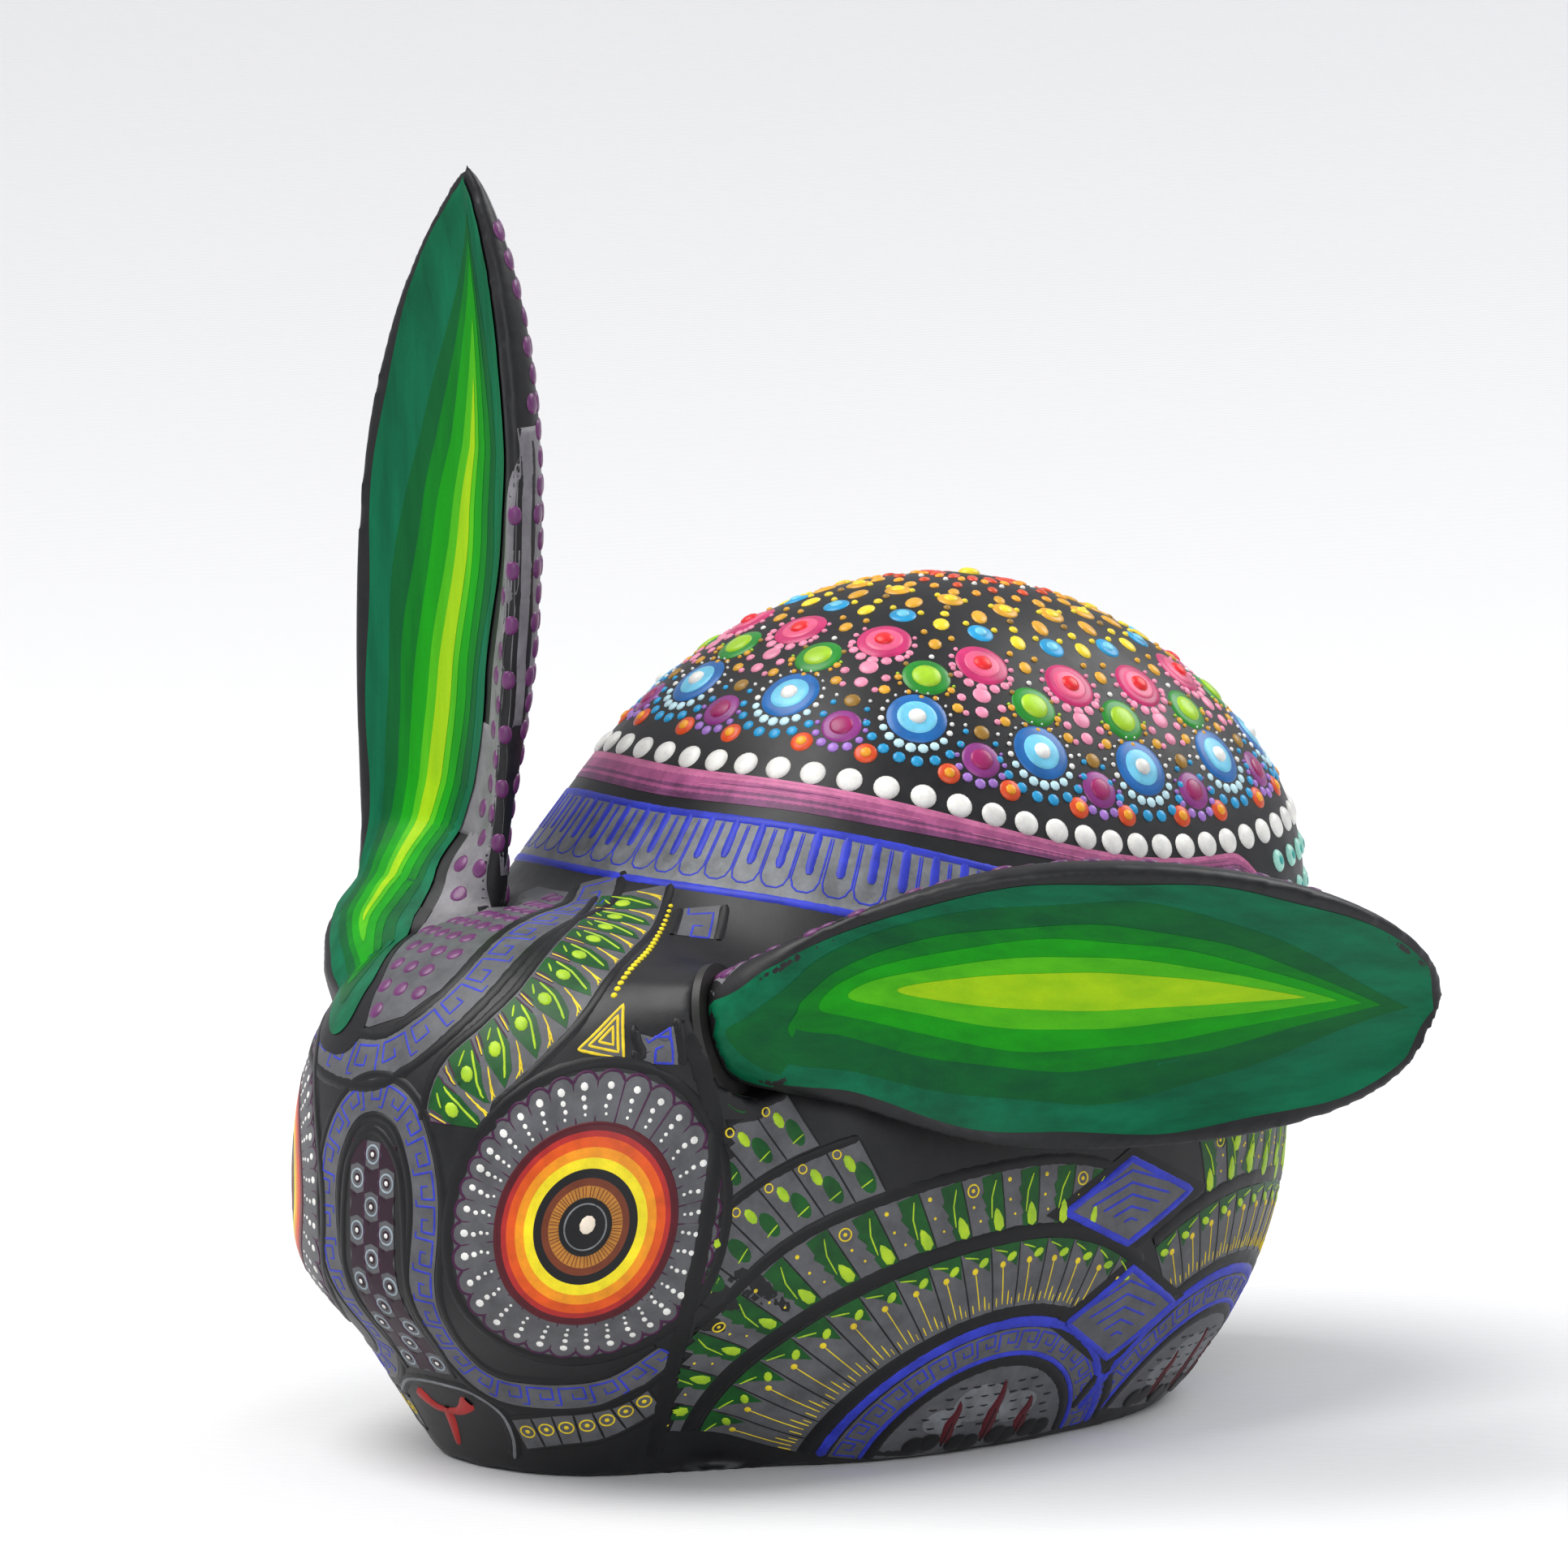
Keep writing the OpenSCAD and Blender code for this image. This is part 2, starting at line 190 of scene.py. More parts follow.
def ribbed_cloth():
    """The pale, finely ribbed cloth the figure stands on."""
    mat, tree, bsdf = new_material("ribbed_cloth")
    link = tree.links.new
    coords = add_node(tree, "ShaderNodeTexCoord")
    turn = add_node(tree, "ShaderNodeMapping", Rotation=(0, 0, math.radians(VIEW_AZIMUTH)))
    ribs = add_node(tree, "ShaderNodeTexWave", Scale=480.0, Distortion=0.8, Detail=2.0, Detail_Scale=1.5)
    link(coords.outputs["Object"], turn.inputs["Vector"])
    link(turn.outputs["Vector"], ribs.inputs["Vector"])
    colour_ramp(tree, ribs, (0.655, 0.655, 0.67, 1), (0.72, 0.715, 0.715, 1))
    relief(tree, ribs.outputs["Fac"], 0.35, 0.0001)
    bsdf.inputs["Roughness"].default_value = 0.9
    return mat


def add_floor():
    """A sweep: flat under the figure, curving up far behind it."""
    reach, rise, steps = 2.6, 1.4, 24
    back = view_axes()[2]
    away = Vector((-back.x, -back.y, 0)).normalized()
    side = Vector((-away.y, away.x, 0))
    profile = [(-reach, 0.0), (0.5, 0.0)]
    profile += [(0.5 + rise * math.sin(t), rise * (1 - math.cos(t)))
                for t in [math.pi / 2 * i / steps for i in range(1, steps + 1)]]
    verts = [away * d + UP * h + side * w for d, h in profile for w in (-reach, reach)]
    faces = [(2 * i, 2 * i + 2, 2 * i + 3, 2 * i + 1) for i in range(len(profile) - 1)]
    mesh = bpy.data.meshes.new("floor")
    mesh.from_pydata(verts, [], faces)
    mesh.shade_smooth()
    mesh.materials.append(ribbed_cloth())
    floor = bpy.data.objects.new("floor", mesh)
    bpy.context.scene.collection.objects.link(floor)


COLOURS = {  # slot: {name: (colour, second brush colour)}
    "painted_body": {
        "black": ((0.007, 0.007, 0.008), None),
        "grey": ((0.105, 0.106, 0.114), (0.074, 0.074, 0.080)),
        "pale_grey": ((0.20, 0.21, 0.22), (0.11, 0.115, 0.12)),
        "plum": ((0.055, 0.008, 0.045), None),
        "plum_black": ((0.022, 0.004, 0.014), None),
        "pale_blue_grey": ((0.30, 0.36, 0.40), None),
        "maroon": ((0.085, 0.006, 0.012), None),
        "blue": ((0.030, 0.046, 0.52), (0.018, 0.028, 0.34)),
        "leaf_green": ((0.006, 0.085, 0.012), (0.004, 0.05, 0.01)),
        "lime": ((0.42, 0.60, 0.02), (0.25, 0.45, 0.02)),
        "yellow": ((0.80, 0.62, 0.02), (0.62, 0.45, 0.02)),
        "red": ((0.42, 0.022, 0.02), None),
        "orange_red": ((0.72, 0.09, 0.008), None),
        "orange": ((0.86, 0.30, 0.01), None),
        "bright_yellow": ((0.88, 0.72, 0.015), None),
        "brown": ((0.16, 0.035, 0.012), None),
        "tan": ((0.48, 0.20, 0.03), None),
        "white": ((0.82, 0.81, 0.77), None),
        "cream": ((0.85, 0.74, 0.60), None),
        "band_pink": ((0.60, 0.17, 0.33), (0.42, 0.11, 0.23)),
        "magenta": ((0.42, 0.10, 0.24), (0.26, 0.06, 0.16)),
        "band_plum": ((0.20, 0.055, 0.15), (0.10, 0.03, 0.08)),
    },
    "painted_ear": {
        "ear_grey": ((0.20, 0.19, 0.205), (0.14, 0.135, 0.145)),
    },
    "purple_paint": {
        "ear_purple": ((0.13, 0.025, 0.12), None),
    },
    "white_paint": {
        "bead_white": ((0.84, 0.83, 0.78), None),
    },
    "turquoise_paint": {
        "mint": ((0.34, 0.70, 0.58), None),
        "teal_bead": ((0.02, 0.34, 0.30), None),
    },
    "pink_paint": {
        "crimson": ((0.56, 0.02, 0.14), None),
        "rose": ((0.76, 0.10, 0.22), None),
        "scarlet": ((0.80, 0.015, 0.02), None),
        "pink": ((0.85, 0.28, 0.42), None),
    },
    "green_paint": {
        "disc_green": ((0.008, 0.24, 0.015), None),
        "disc_lime": ((0.36, 0.62, 0.015), None),
    },
    "blue_paint": {
        "disc_blue": ((0.006, 0.13, 0.42), None),
        "sky": ((0.16, 0.58, 0.80), None),
        "pale_blue": ((0.55, 0.80, 0.86), None),
    },
    "light_blue_paint": {
        "dot_blue": ((0.01, 0.32, 0.62), None),
    },
    "violet_paint": {
        "violet": ((0.26, 0.03, 0.22), None),
        "wine": ((0.32, 0.008, 0.11), None),
        "lilac": ((0.36, 0.17, 0.58), None),
    },
    "gold_paint": {
        "gold": ((0.72, 0.36, 0.02), None),
        "sun": ((0.88, 0.66, 0.02), None),
        "ochre": ((0.34, 0.18, 0.02), None),
    },
    "orange_paint": {
        "drop_red": ((0.70, 0.07, 0.01), None),
        "drop_amber": ((0.90, 0.36, 0.01), None),
    },
    "red_paint": {
        "petal_red": ((0.68, 0.06, 0.02), None),
    },
}
LEAF_COLOURS = {
    "teal": ((0.003, 0.135, 0.060), (0.002, 0.085, 0.036)),
    "forest": ((0.003, 0.105, 0.022), (0.002, 0.075, 0.022)),
    "mid": ((0.003, 0.19, 0.010), (0.002, 0.13, 0.014)),
    "grass": ((0.008, 0.29, 0.006), (0.006, 0.24, 0.006)),
    "fresh": ((0.075, 0.42, 0.006), (0.05, 0.36, 0.006)),
    "lime": ((0.33, 0.53, 0.004), (0.24, 0.49, 0.004)),
}
# name, part of the face's width, and where on the ear it starts and ends (0 foot, 1 tip)
UPRIGHT_BANDS = [("leaf_teal", 1.0, -0.062, 0.99), ("leaf_forest", 0.78, -0.03, 0.94),
                 ("leaf_mid", 0.62, -0.012, 0.91), ("leaf_grass", 0.46, 0.0, 0.885),
                 ("leaf_fresh", 0.27, 0.03, 0.81), ("leaf_lime", 0.14, 0.05, 0.735)]
FOLDED_BANDS = [("laid_teal", 1.0, -0.02, 0.99), ("laid_forest", 0.80, 0.02, 0.955),
                ("laid_mid", 0.58, 0.09, 0.91), ("laid_grass", 0.45, 0.13, 0.88),
                ("laid_fresh", 0.31, 0.17, 0.84), ("laid_lime", 0.17, 0.23, 0.79)]
# depth below the peg's middle, shift to the right and forward, and the width and depth of the ring
UPRIGHT_FLARE = [(-5, (0.4, 2.5), 1.02, 1.1), (-2, (1.5, 5.5), 1.0, 1.2), (1, (3.5, 8.0), 0.9, 1.15),
                 (4, (5.0, 9.0), 0.8, 1.0), (9, (5.5, 8.0), 0.7, 0.8)]


# ------------------------------------------------------------------ carved surfaces
def add_piece(name, mesh, material, slot, replaced=()):
    mesh.materials.clear()
    mesh.materials.append(material)
    mesh.shade_smooth()
    piece = bpy.data.objects.new(name, mesh)
    bpy.context.scene.collection.objects.link(piece)
    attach(piece, "root")
    if replaced:
        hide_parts(*replaced)
    return piece


def sanded_copy(node, name, voxel, rounds, material, slot, extra=None):
    """The carved shape of a CAD node, with an extra lump if given, its facets sanded away."""
    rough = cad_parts[node].data
    verts = [v.co.copy() for v in rough.vertices]
    faces = [tuple(p.vertices) for p in rough.polygons]
    if extra:
        base = len(verts)
        verts += [p * MM for p in extra[0]]
        faces += [tuple(base + i for i in f) for f in extra[1]]
    block = bpy.data.meshes.new("block")
    block.from_pydata(verts, [], faces)
    scratch = bpy.data.objects.new("scratch", block)
    bpy.context.scene.collection.objects.link(scratch)
    remesh = scratch.modifiers.new("remesh", "REMESH")
    remesh.mode = "VOXEL"
    remesh.voxel_size = voxel * MM
    sand = scratch.modifiers.new("sand", "SMOOTH")
    sand.factor = 0.5
    sand.iterations = rounds
    shaped = scratch.evaluated_get(bpy.context.evaluated_depsgraph_get())
    mesh = bpy.data.meshes.new_from_object(shaped)
    mesh.name = name
    bpy.data.objects.remove(scratch)
    return add_piece(name, mesh, material, slot, [node])


def surface_tree(mesh):
    points = [v.co / MM for v in mesh.vertices]
    return BVHTree.FromPolygons(points, [tuple(p.vertices) for p in mesh.polygons])


class Surface:
    """A carved surface that paint is laid on."""

    def __init__(self, piece):
        self.points = [v.co / MM for v in piece.data.vertices]
        self.tree = surface_tree(piece.data)

    def near(self, p):
        place, normal, _, _ = self.tree.find_nearest(p)
        return place, normal

    def cast(self, start, direction):
        place, normal, _, _ = self.tree.ray_cast(start, direction)
        return (place, normal) if place else self.near(start + direction * 40)


# ------------------------------------------------------------------ paint
class Paint:
    """Paint of one colour: a growing list of points and faces."""

    pots = {}
    within = None      # where paint may go at the moment

    def __init__(self):
        self.points, self.faces = [], []

    @classmethod
    def pot(cls, colour):
        return cls.pots.setdefault(colour, cls())

    def add(self, points, faces):
        base = len(self.points)
        if Paint.within:
            ok = [Paint.within(p) for p in points]
            faces = [f for f in faces if all(ok[i] for i in f)]
        self.points += points
        self.faces += [tuple(base + i for i in f) for f in faces]


def stroke(colour, line, width, rise=0.07, blunt=True):
    """A brush line: `line` is a list of (place, normal), `width` a number or a function of the part along."""
    wide = width if callable(width) else (lambda t: width)
    n = len(line)
    if n < 2:
        return
    pts = []
    for i, (p, normal) in enumerate(line):
        ahead = line[min(i + 1, n - 1)][0] - line[max(i - 1, 0)][0]
        side = normal.cross(ahead)
        side = side.normalized() if side.length > 1e-9 else Vector((1, 0, 0))
        w = wide(i / (n - 1)) * (1 + 0.1 * rng.uniform(-1, 1)) / 2
        if i in (0, n - 1):
            w *= 0.55 if blunt else 0.1
        low = normal * -0.03
        pts += [p + side * w + low, p + side * w * 0.7 + normal * rise * 0.8, p + normal * rise,
                p - side * w * 0.7 + normal * rise * 0.8, p - side * w + low]
    faces = [(5 * i + k, 5 * i + k + 1, 5 * i + k + 6, 5 * i + k + 5) for i in range(n - 1) for k in range(4)]
    Paint.pot(colour).add(pts, faces)


def dab(colour, surface, place, normal, radius, rise, base=0.0, along=None, stretch=1.0, drop=0.0):
    """A round, oval (`stretch`) or tear-shaped (`drop`) dab of paint that follows the surface."""
    sides = max(8, min(28, int(radius * 14)))
    u = (along or normal.orthogonal()).copy()
    u = (u - normal * u.dot(normal)).normalized()
    v = normal.cross(u)
    centre = place + normal * (base + rise)
    pts, faces = [centre], []
    rings = ((0.45, 0.93), (0.8, 0.62), (0.96, 0.2), (1.0, -0.25))
    for part, high in rings:
        for k in range(sides):
            a = 2 * math.pi * k / sides
            r = radius * part
            q = place + u * (math.cos(a) * r * stretch) + v * (math.sin(a) * r * (1 - drop * math.cos(a)))
            if radius > 0.9:
                q, n = surface.near(q)
            else:
                n = normal
            pts.append(q + n * (base + rise * high))
    for k in range(sides):
        j = (k + 1) % sides
        faces.append((0, 1 + k, 1 + j))
        for ring in range(len(rings) - 1):
            a, b = 1 + ring * sides, 1 + (ring + 1) * sides
            faces.append((a + k, b + k, b + j, a + j))
    Paint.pot(colour).add(pts, faces)


def densify(outline, pitch):
    pts = []
    for i, a in enumerate(outline):
        b = outline[(i + 1) % len(outline)]
        n = max(1, int(math.hypot(b[0] - a[0], b[1] - a[1]) / pitch))
        pts += [(a[0] + (b[0] - a[0]) * k / n, a[1] + (b[1] - a[1]) * k / n) for k in range(n)]
    return pts


def area(colour, chart, outline, rise=0.04, pitch=1.0):
    """Fills an outline given in the chart's own two coordinates (millimetres)."""
    edge = densify(outline, pitch)
    xs, ys = [p[0] for p in edge], [p[1] for p in edge]
    verts = [Vector(p) for p in edge]
    nx, ny = int((max(xs) - min(xs)) / pitch), int((max(ys) - min(ys)) / pitch)
    for i in range(1, nx + 1):
        for j in range(1, ny + 1):
            p = (min(xs) + (i - 0.5 + 0.25 * (j % 2)) * pitch, min(ys) + (j - 0.5) * pitch)
            if inside(p, edge):
                verts.append(Vector(p))
    edges = [(i, (i + 1) % len(edge)) for i in range(len(edge))]
    flat, _, faces, _, _, _ = delaunay_2d_cdt(verts, edges, [list(range(len(edge)))], 1, 1e-5)
    pts = []
    for p in flat:
        place, normal = chart(p.x, p.y)
        pts.append(place + normal * rise)
    Paint.pot(colour).add(pts, [tuple(f) for f in faces])


def inside(p, edge):
    hit = False
    for i, a in enumerate(edge):
        b = edge[i - 1]
        if (a[1] > p[1]) != (b[1] > p[1]) and p[0] < (b[0] - a[0]) * (p[1] - a[1]) / (b[1] - a[1]) + a[0]:
            hit = not hit
    return hit


def chart_line(chart, pts, pitch=0.5, closed=False):
    """Follows straight runs between points of a chart."""
    run = []
    ends = list(zip(pts, pts[1:] + pts[:1])) if closed else list(zip(pts, pts[1:]))
    for a, b in ends:
        n = max(1, int(math.hypot(b[0] - a[0], b[1] - a[1]) / pitch))
        run += [(a[0] + (b[0] - a[0]) * k / n, a[1] + (b[1] - a[1]) * k / n) for k in range(n)]
    run.append(pts[0] if closed else pts[-1])
    return [chart(u, v) for u, v in run]


# ------------------------------------------------------------------ charts
def flow(points, steps=12):
    """A smooth curve through given points."""
    out = []
    for i in range(len(points) - 1):
        p0, p1 = points[max(i - 1, 0)], points[i]
        p2, p3 = points[i + 1], points[min(i + 2, len(points) - 1)]
        for k in range(steps):
            t = k / steps
            out.append(tuple(
                0.5 * (2 * b + (c - a) * t + (2 * a - 5 * b + 4 * c - d) * t * t
                       + (3 * b - a - 3 * c + d) * t ** 3)
                for a, b, c, d in zip(p0, p1, p2, p3)))
    out.append(tuple(points[-1]))
    return out


class Band:
    """A strip of surface along a curve: s runs along it and d across it, to its left."""

    def __init__(self, surface, places, side=1):
        self.surface, self.side = surface, side
        fine = [surface.near(Vector(p)) for p in places]
        self.line, self.at_s = [fine[0]], [0.0]
        for p, n in fine[1:]:
            gap = (p - self.line[-1][0]).length
            if gap > 0.15:
                self.at_s.append(self.at_s[-1] + gap)
                self.line.append((p, n))
        self.length = self.at_s[-1]

    def __call__(self, s, d):
        s = min(max(s, 0.0), self.length)
        i = int(np.searchsorted(self.at_s, s, side="right")) - 1
        i = min(max(i, 0), len(self.line) - 2)
        t = (s - self.at_s[i]) / (self.at_s[i + 1] - self.at_s[i])
        (p, n), (q, m) = self.line[i], self.line[i + 1]
        before, after = self.line[max(i - 3, 0)][0], self.line[min(i + 4, len(self.line) - 1)][0]
        normal = n.lerp(m, t).normalized()
        left = normal.cross(after - before).normalized() * self.side
        return self.surface.near(p.lerp(q, t) + left * d)


class Rose:
    """Rings and rays walked over the surface from a centre: r millimetres out, at an angle from `up`."""

    def __init__(self, surface, centre, up, radius, side=1, step=0.75):
        self.step, self.side, self.rays = step, side, 72
        place, normal = surface.near(centre)
        up = (up - normal * up.dot(normal)).normalized()
        right = up.cross(normal)
        self.grid = []
        for k in range(self.rays):
            a = 2 * math.pi * k / self.rays
            way = up * math.cos(a) + right * math.sin(a) * side
            p, n = place, normal
            ray = [(p, n)]
            for _ in range(int(radius / step) + 2):
                q, m = surface.near(p + way * step)
                way = (q - p - m * (q - p).dot(m))
                way = way.normalized() if way.length > 1e-6 else up
                p, n = q, m
                ray.append((p, n))
            self.grid.append(ray)

    def __call__(self, r, degrees):
        x = (degrees % 360) / 360 * self.rays
        i, fx = int(x) % self.rays, x - int(x)
        y = min(max(r / self.step, 0), len(self.grid[0]) - 1.001)
        j, fy = int(y), y - int(y)
        place, normal = Vector(), Vector()
        for ray, wa in ((self.grid[i], 1 - fx), (self.grid[(i + 1) % self.rays], fx)):
            for k, wb in ((j, 1 - fy), (j + 1, fy)):
                place += ray[k][0] * wa * wb
                normal += ray[k][1] * wa * wb
        return place, normal.normalized()


# ------------------------------------------------------------------ the body and its charts
body_black = acrylic("black_ground", (0.009, 0.009, 0.010), (0.005, 0.005, 0.006), rough=0.44, coat=0.08)
skin = Surface(sanded_copy("body", "rabbit_skin", 0.75, 7, body_black, "painted_body"))
HEART = Vector((0, -28, 27))      # the head and flanks are charted from here
HUB = Vector((0, 0, 30))          # the dome of the back is charted from here
LEAN = math.radians(7.7)          # the dome pattern leans to the tail
REPEATS = 14
SIDES = (1, -1)                   # the rabbit's left and right


def star(az, el):
    a, e = math.radians(az), math.radians(el)
    return skin.cast(HEART, Vector((math.cos(e) * math.sin(a), -math.cos(e) * math.cos(a), math.sin(e))))


def star_angles(p):
    d = p - HEART
    return math.degrees(math.atan2(d.x, -d.y)), math.degrees(math.atan2(d.z, math.hypot(d.x, d.y)))


def crown(polar, az):
    p, a = math.radians(polar), math.radians(az)
    x, y, z = math.sin(p) * math.sin(a), -math.sin(p) * math.cos(a), math.cos(p)
    c, s = math.cos(LEAN), math.sin(LEAN)
    return skin.cast(HUB, Vector((x, y * c + z * s, z * c - y * s)))


def trail(points, side=1):
    """A band over the head or flank along points of the star chart."""
    return Band(skin, [star(az * side, el)[0] for az, el in flow(points)], side)


def blend(table, x):
    """Eases between (x, value) pairs."""
    for (x0, v0), (x1, v1) in zip(table, table[1:]):
        if x <= x1:
            t = min(max((x - x0) / (x1 - x0), 0), 1)
            return v0 + (v1 - v0) * t * t * (3 - 2 * t)
    return table[-1][1]


# ------------------------------------------------------------------ motifs
def sheet(colour, chart, rows, cols, rise):
    """Fills a chart of two parts (0 to 1 each) with a grid of paint."""
    pts = []
    for i in range(rows + 1):
        for j in range(cols + 1):
            p, n = chart(i / rows, j / cols)
            pts.append(p + n * rise)
    w = cols + 1
    Paint.pot(colour).add(pts, [(i * w + j, (i + 1) * w + j, (i + 1) * w + j + 1, i * w + j + 1)
                                for i in range(rows) for j in range(cols)])


def line(colour, chart, pts, width, rise=0.09, closed=False, **more):
    stroke(colour, chart_line(chart, pts, 0.45, closed), width, rise, **more)


def spot(colour, chart, s, d, radius, rise=0.12, **more):
    place, normal = chart(s, d)
    dab(colour, skin, place, normal, radius, rise, **more)


def fill(colour, chart, s0, s1, d0, d1, rise=0.04):
    """Fills a stretch of a chart between two edges (numbers or functions of s)."""
    low = d0 if callable(d0) else (lambda s: d0)
    high = d1 if callable(d1) else (lambda s: d1)
    steps = max(2, int(abs(s1 - s0) / 0.8))
    across = max(1, int(max(abs(high(s) - low(s)) for s in (s0, (s0 + s1) / 2, s1)) / 0.9))

    def part(i, j):
        s = s0 + (s1 - s0) * i
        return chart(s, low(s) + (high(s) - low(s)) * j)
    sheet(colour, part, steps, across, rise)


def greca(chart, length, d0, d1, pitch):
    """A stepped-fret band: grey ground and one thin hooked blue line to every repeat."""
    w = d1 - d0
    fill("grey", chart, 0, length, d0, d1)
    count = max(1, round(length / pitch))
    step = length / count
    hook = [(-0.2, 0.14), (0.0, 0.14), (0.0, 0.86), (0.78, 0.86), (0.78, 0.38), (0.4, 0.38), (0.4, 0.62)]
    for k in range(count):
        pts = [((k + 0.2 + x) * step, d0 + w * y + 0.05 * rng.uniform(-1, 1)) for x, y in hook]
        line("blue", chart, pts, 0.3, 0.08)


def outline(chart, length, edges, width):
    """Black lines along a chart at the given distances across it."""
    for d in edges:
        line("black", chart, [(0, d), (length, d)], width, 0.12)


def pin_cells(chart, length, d0, d1, count):
    """Grey cells, each with a yellow pin, short dashes, a dark-green corner and a lime oval."""
    w, step = d1 - d0, length / count
    fill("grey", chart, 0, length, d0, d1)
    for k in range(count):
        s = k * step
        line("black", chart, [(s, d0), (s, d1)], 0.22, 0.08)
        area("leaf_green", chart, [(s + 0.04 * step, d1), (s + step, d1), (s + 0.9 * step, d1 - 0.36 * w),
                                   (s + 0.35 * step, d1 - 0.12 * w)], 0.07, 0.6)
        spot("lime", chart, s + 0.72 * step, d1 - 0.2 * w, 0.24 * step ** 0.5, 0.1,
             along=chart(s + step, d1)[0] - chart(s, d1 - 0.3 * w)[0], stretch=1.5, base=0.07)
        line("lime", chart, [(s + 0.12 * step, d1 - 0.05 * w), (s + 0.55 * step, d1 - 0.12 * w)], 0.22, 0.14)
        spot("yellow", chart, s + 0.4 * step, d0 + 0.7 * w, 0.38, 0.14)
        line("yellow", chart, [(s + 0.4 * step, d0 + 0.68 * w), (s + 0.42 * step, d0 + 0.08 * w)], 0.15, 0.09)
        for x, tall in ((0.16, 0.2), (0.66, 0.28), (0.84, 0.16)):
            line("yellow", chart, [(s + x * step, d0 + 0.06 * w), (s + x * step, d0 + tall * w)], 0.18, 0.09)


def step_cells(chart, length, d0, d1, count):
    """Stepped grey shapes with yellow dots and rings, between dark-green leaves with a lime drop."""
    w, step = d1 - d0, length / count
    fill("grey", chart, 0, length, d0, d1)
    for k in range(count):
        s = k * step
        line("black", chart, [(s, d0), (s, d1)], 0.2, 0.08)
        leaf = [(0.98, 1.0), (0.98, 0.0), (0.55, 0.0), (0.5, 0.2), (0.56, 0.24), (0.45, 0.42), (0.52, 0.47),
                (0.42, 0.66), (0.5, 0.72), (0.5, 0.96)]
        area("leaf_green", chart, [(s + x * step, d0 + y * w) for x, y in leaf], 0.07, 0.6)
        up = chart(s, d1)[0] - chart(s, d0)[0]
        spot("lime", chart, s + 0.8 * step, d0 + 0.2 * w, 0.115 * (w * step) ** 0.5, 0.1,
             along=up, stretch=2.1, drop=0.4, base=0.07)
        line("lime", chart, [(s + 0.62 * step, d0 + 0.25 * w), (s + 0.68 * step, d0 + 0.6 * w),
                             (s + 0.84 * step, d0 + 0.88 * w)], 0.2, 0.14)
        if k % 3:
            spot("yellow", chart, s + 0.2 * step, d0 + 0.84 * w, 0.26)
        else:
            ring_line("yellow", chart, s + 0.24 * step, d0 + 0.78 * w, 0.62, 0.2)
            spot("yellow", chart, s + 0.24 * step, d0 + 0.78 * w, 0.24)
        spot("yellow", chart, s + 0.18 * step, d0 + 0.5 * w, 0.18)
        spot("yellow", chart, s + 0.3 * step, d0 + 0.24 * w, 0.16)


def ring_line(colour, chart, s, d, radius, pen):
    place, normal = chart(s, d)
    u = normal.orthogonal().normalized()
    v = normal.cross(u)
    turns = [2 * math.pi * k / 20 for k in range(21)]
    pts = [skin.near(place + u * (radius * math.cos(a)) + v * (radius * math.sin(a))) for a in turns]
    stroke(colour, pts, pen, 0.09)


def oval_cells(chart, length, width):
    """Plain grey cells with a green and a lime oval and a yellow ring each."""
    fill("grey", chart, 0, length, 0, width)
    count = round(length / 3.9)
    for k in range(count):
        s = (k + 0.5) * length / count
        up = chart(s, width)[0] - chart(s, 0)[0]
        line("black", chart, [(s + 0.5 * length / count, 0), (s + 0.5 * length / count, width)], 0.24)
        spot("leaf_green", chart, s + 0.5, 1.9, 0.95, 0.08, along=up, stretch=1.9)
        spot("lime", chart, s - 0.3, 3.6, 0.55, 0.16, along=up, stretch=1.8)
        line("lime", chart, [(s - 0.5, 1.1), (s + 1.1, 1.5)], 0.2, 0.14)
        ring_line("yellow", chart, s - 1.0, width - 0.8, 0.42, 0.18)
    line("black", chart, [(0, width), (length, width)], 1.0, 0.12)


def leaf_cells(chart, length, d0, d1, count):
    """Dark-green triangles with a lime oval and curved strokes, between grey ones ruled in yellow."""
    w, step = d1 - d0, length / count
    fill("grey", chart, 0, length, d0, d1)
    for k in range(count):
        s = k * step
        leaf = [(0.0, 0.02), (0.7, 0.02), (1.0, 0.45), (1.06, 0.98), (0.66, 0.84), (0.22, 0.5)]
        area("leaf_green", chart, [(s + x * step, d0 + y * w) for x, y in leaf], 0.07, 0.6)
        spot("lime", chart, s + 0.62 * step, d0 + 0.42 * w, 0.66, 0.16, base=0.08,
             along=chart(s + step, d1)[0] - chart(s, d0)[0], stretch=1.35)
        line("lime", chart, [(s + 0.15 * step, d0 + 0.2 * w), (s + 0.42 * step, d0 + 0.5 * w),
                             (s + 0.9 * step, d0 + 0.86 * w)], 0.3, 0.15)
        line("lime", chart, [(s + 0.3 * step, d0 + 0.12 * w), (s + 0.62 * step, d0 + 0.24 * w)], 0.26, 0.15)
        for x in (0.0, 0.16, 0.32):
            line("yellow", chart, [(s + (0.06 + x) * step, d0 + (0.56 + x) * w),
                                   (s + (0.5 + 0.6 * x) * step, d0 + 0.98 * w)], 0.2, 0.1)
            line("plum", chart, [(s + (0.68 + x) * step, d0 + 0.04 * w),
                                 (s + (0.86 + x) * step, d0 + (0.3 + 0.4 * x) * w)], 0.22, 0.1)
        line("yellow", chart, [(s + 0.8 * step, d0 + 0.06 * w), (s + 1.0 * step, d0 + 0.36 * w)], 0.2, 0.12)


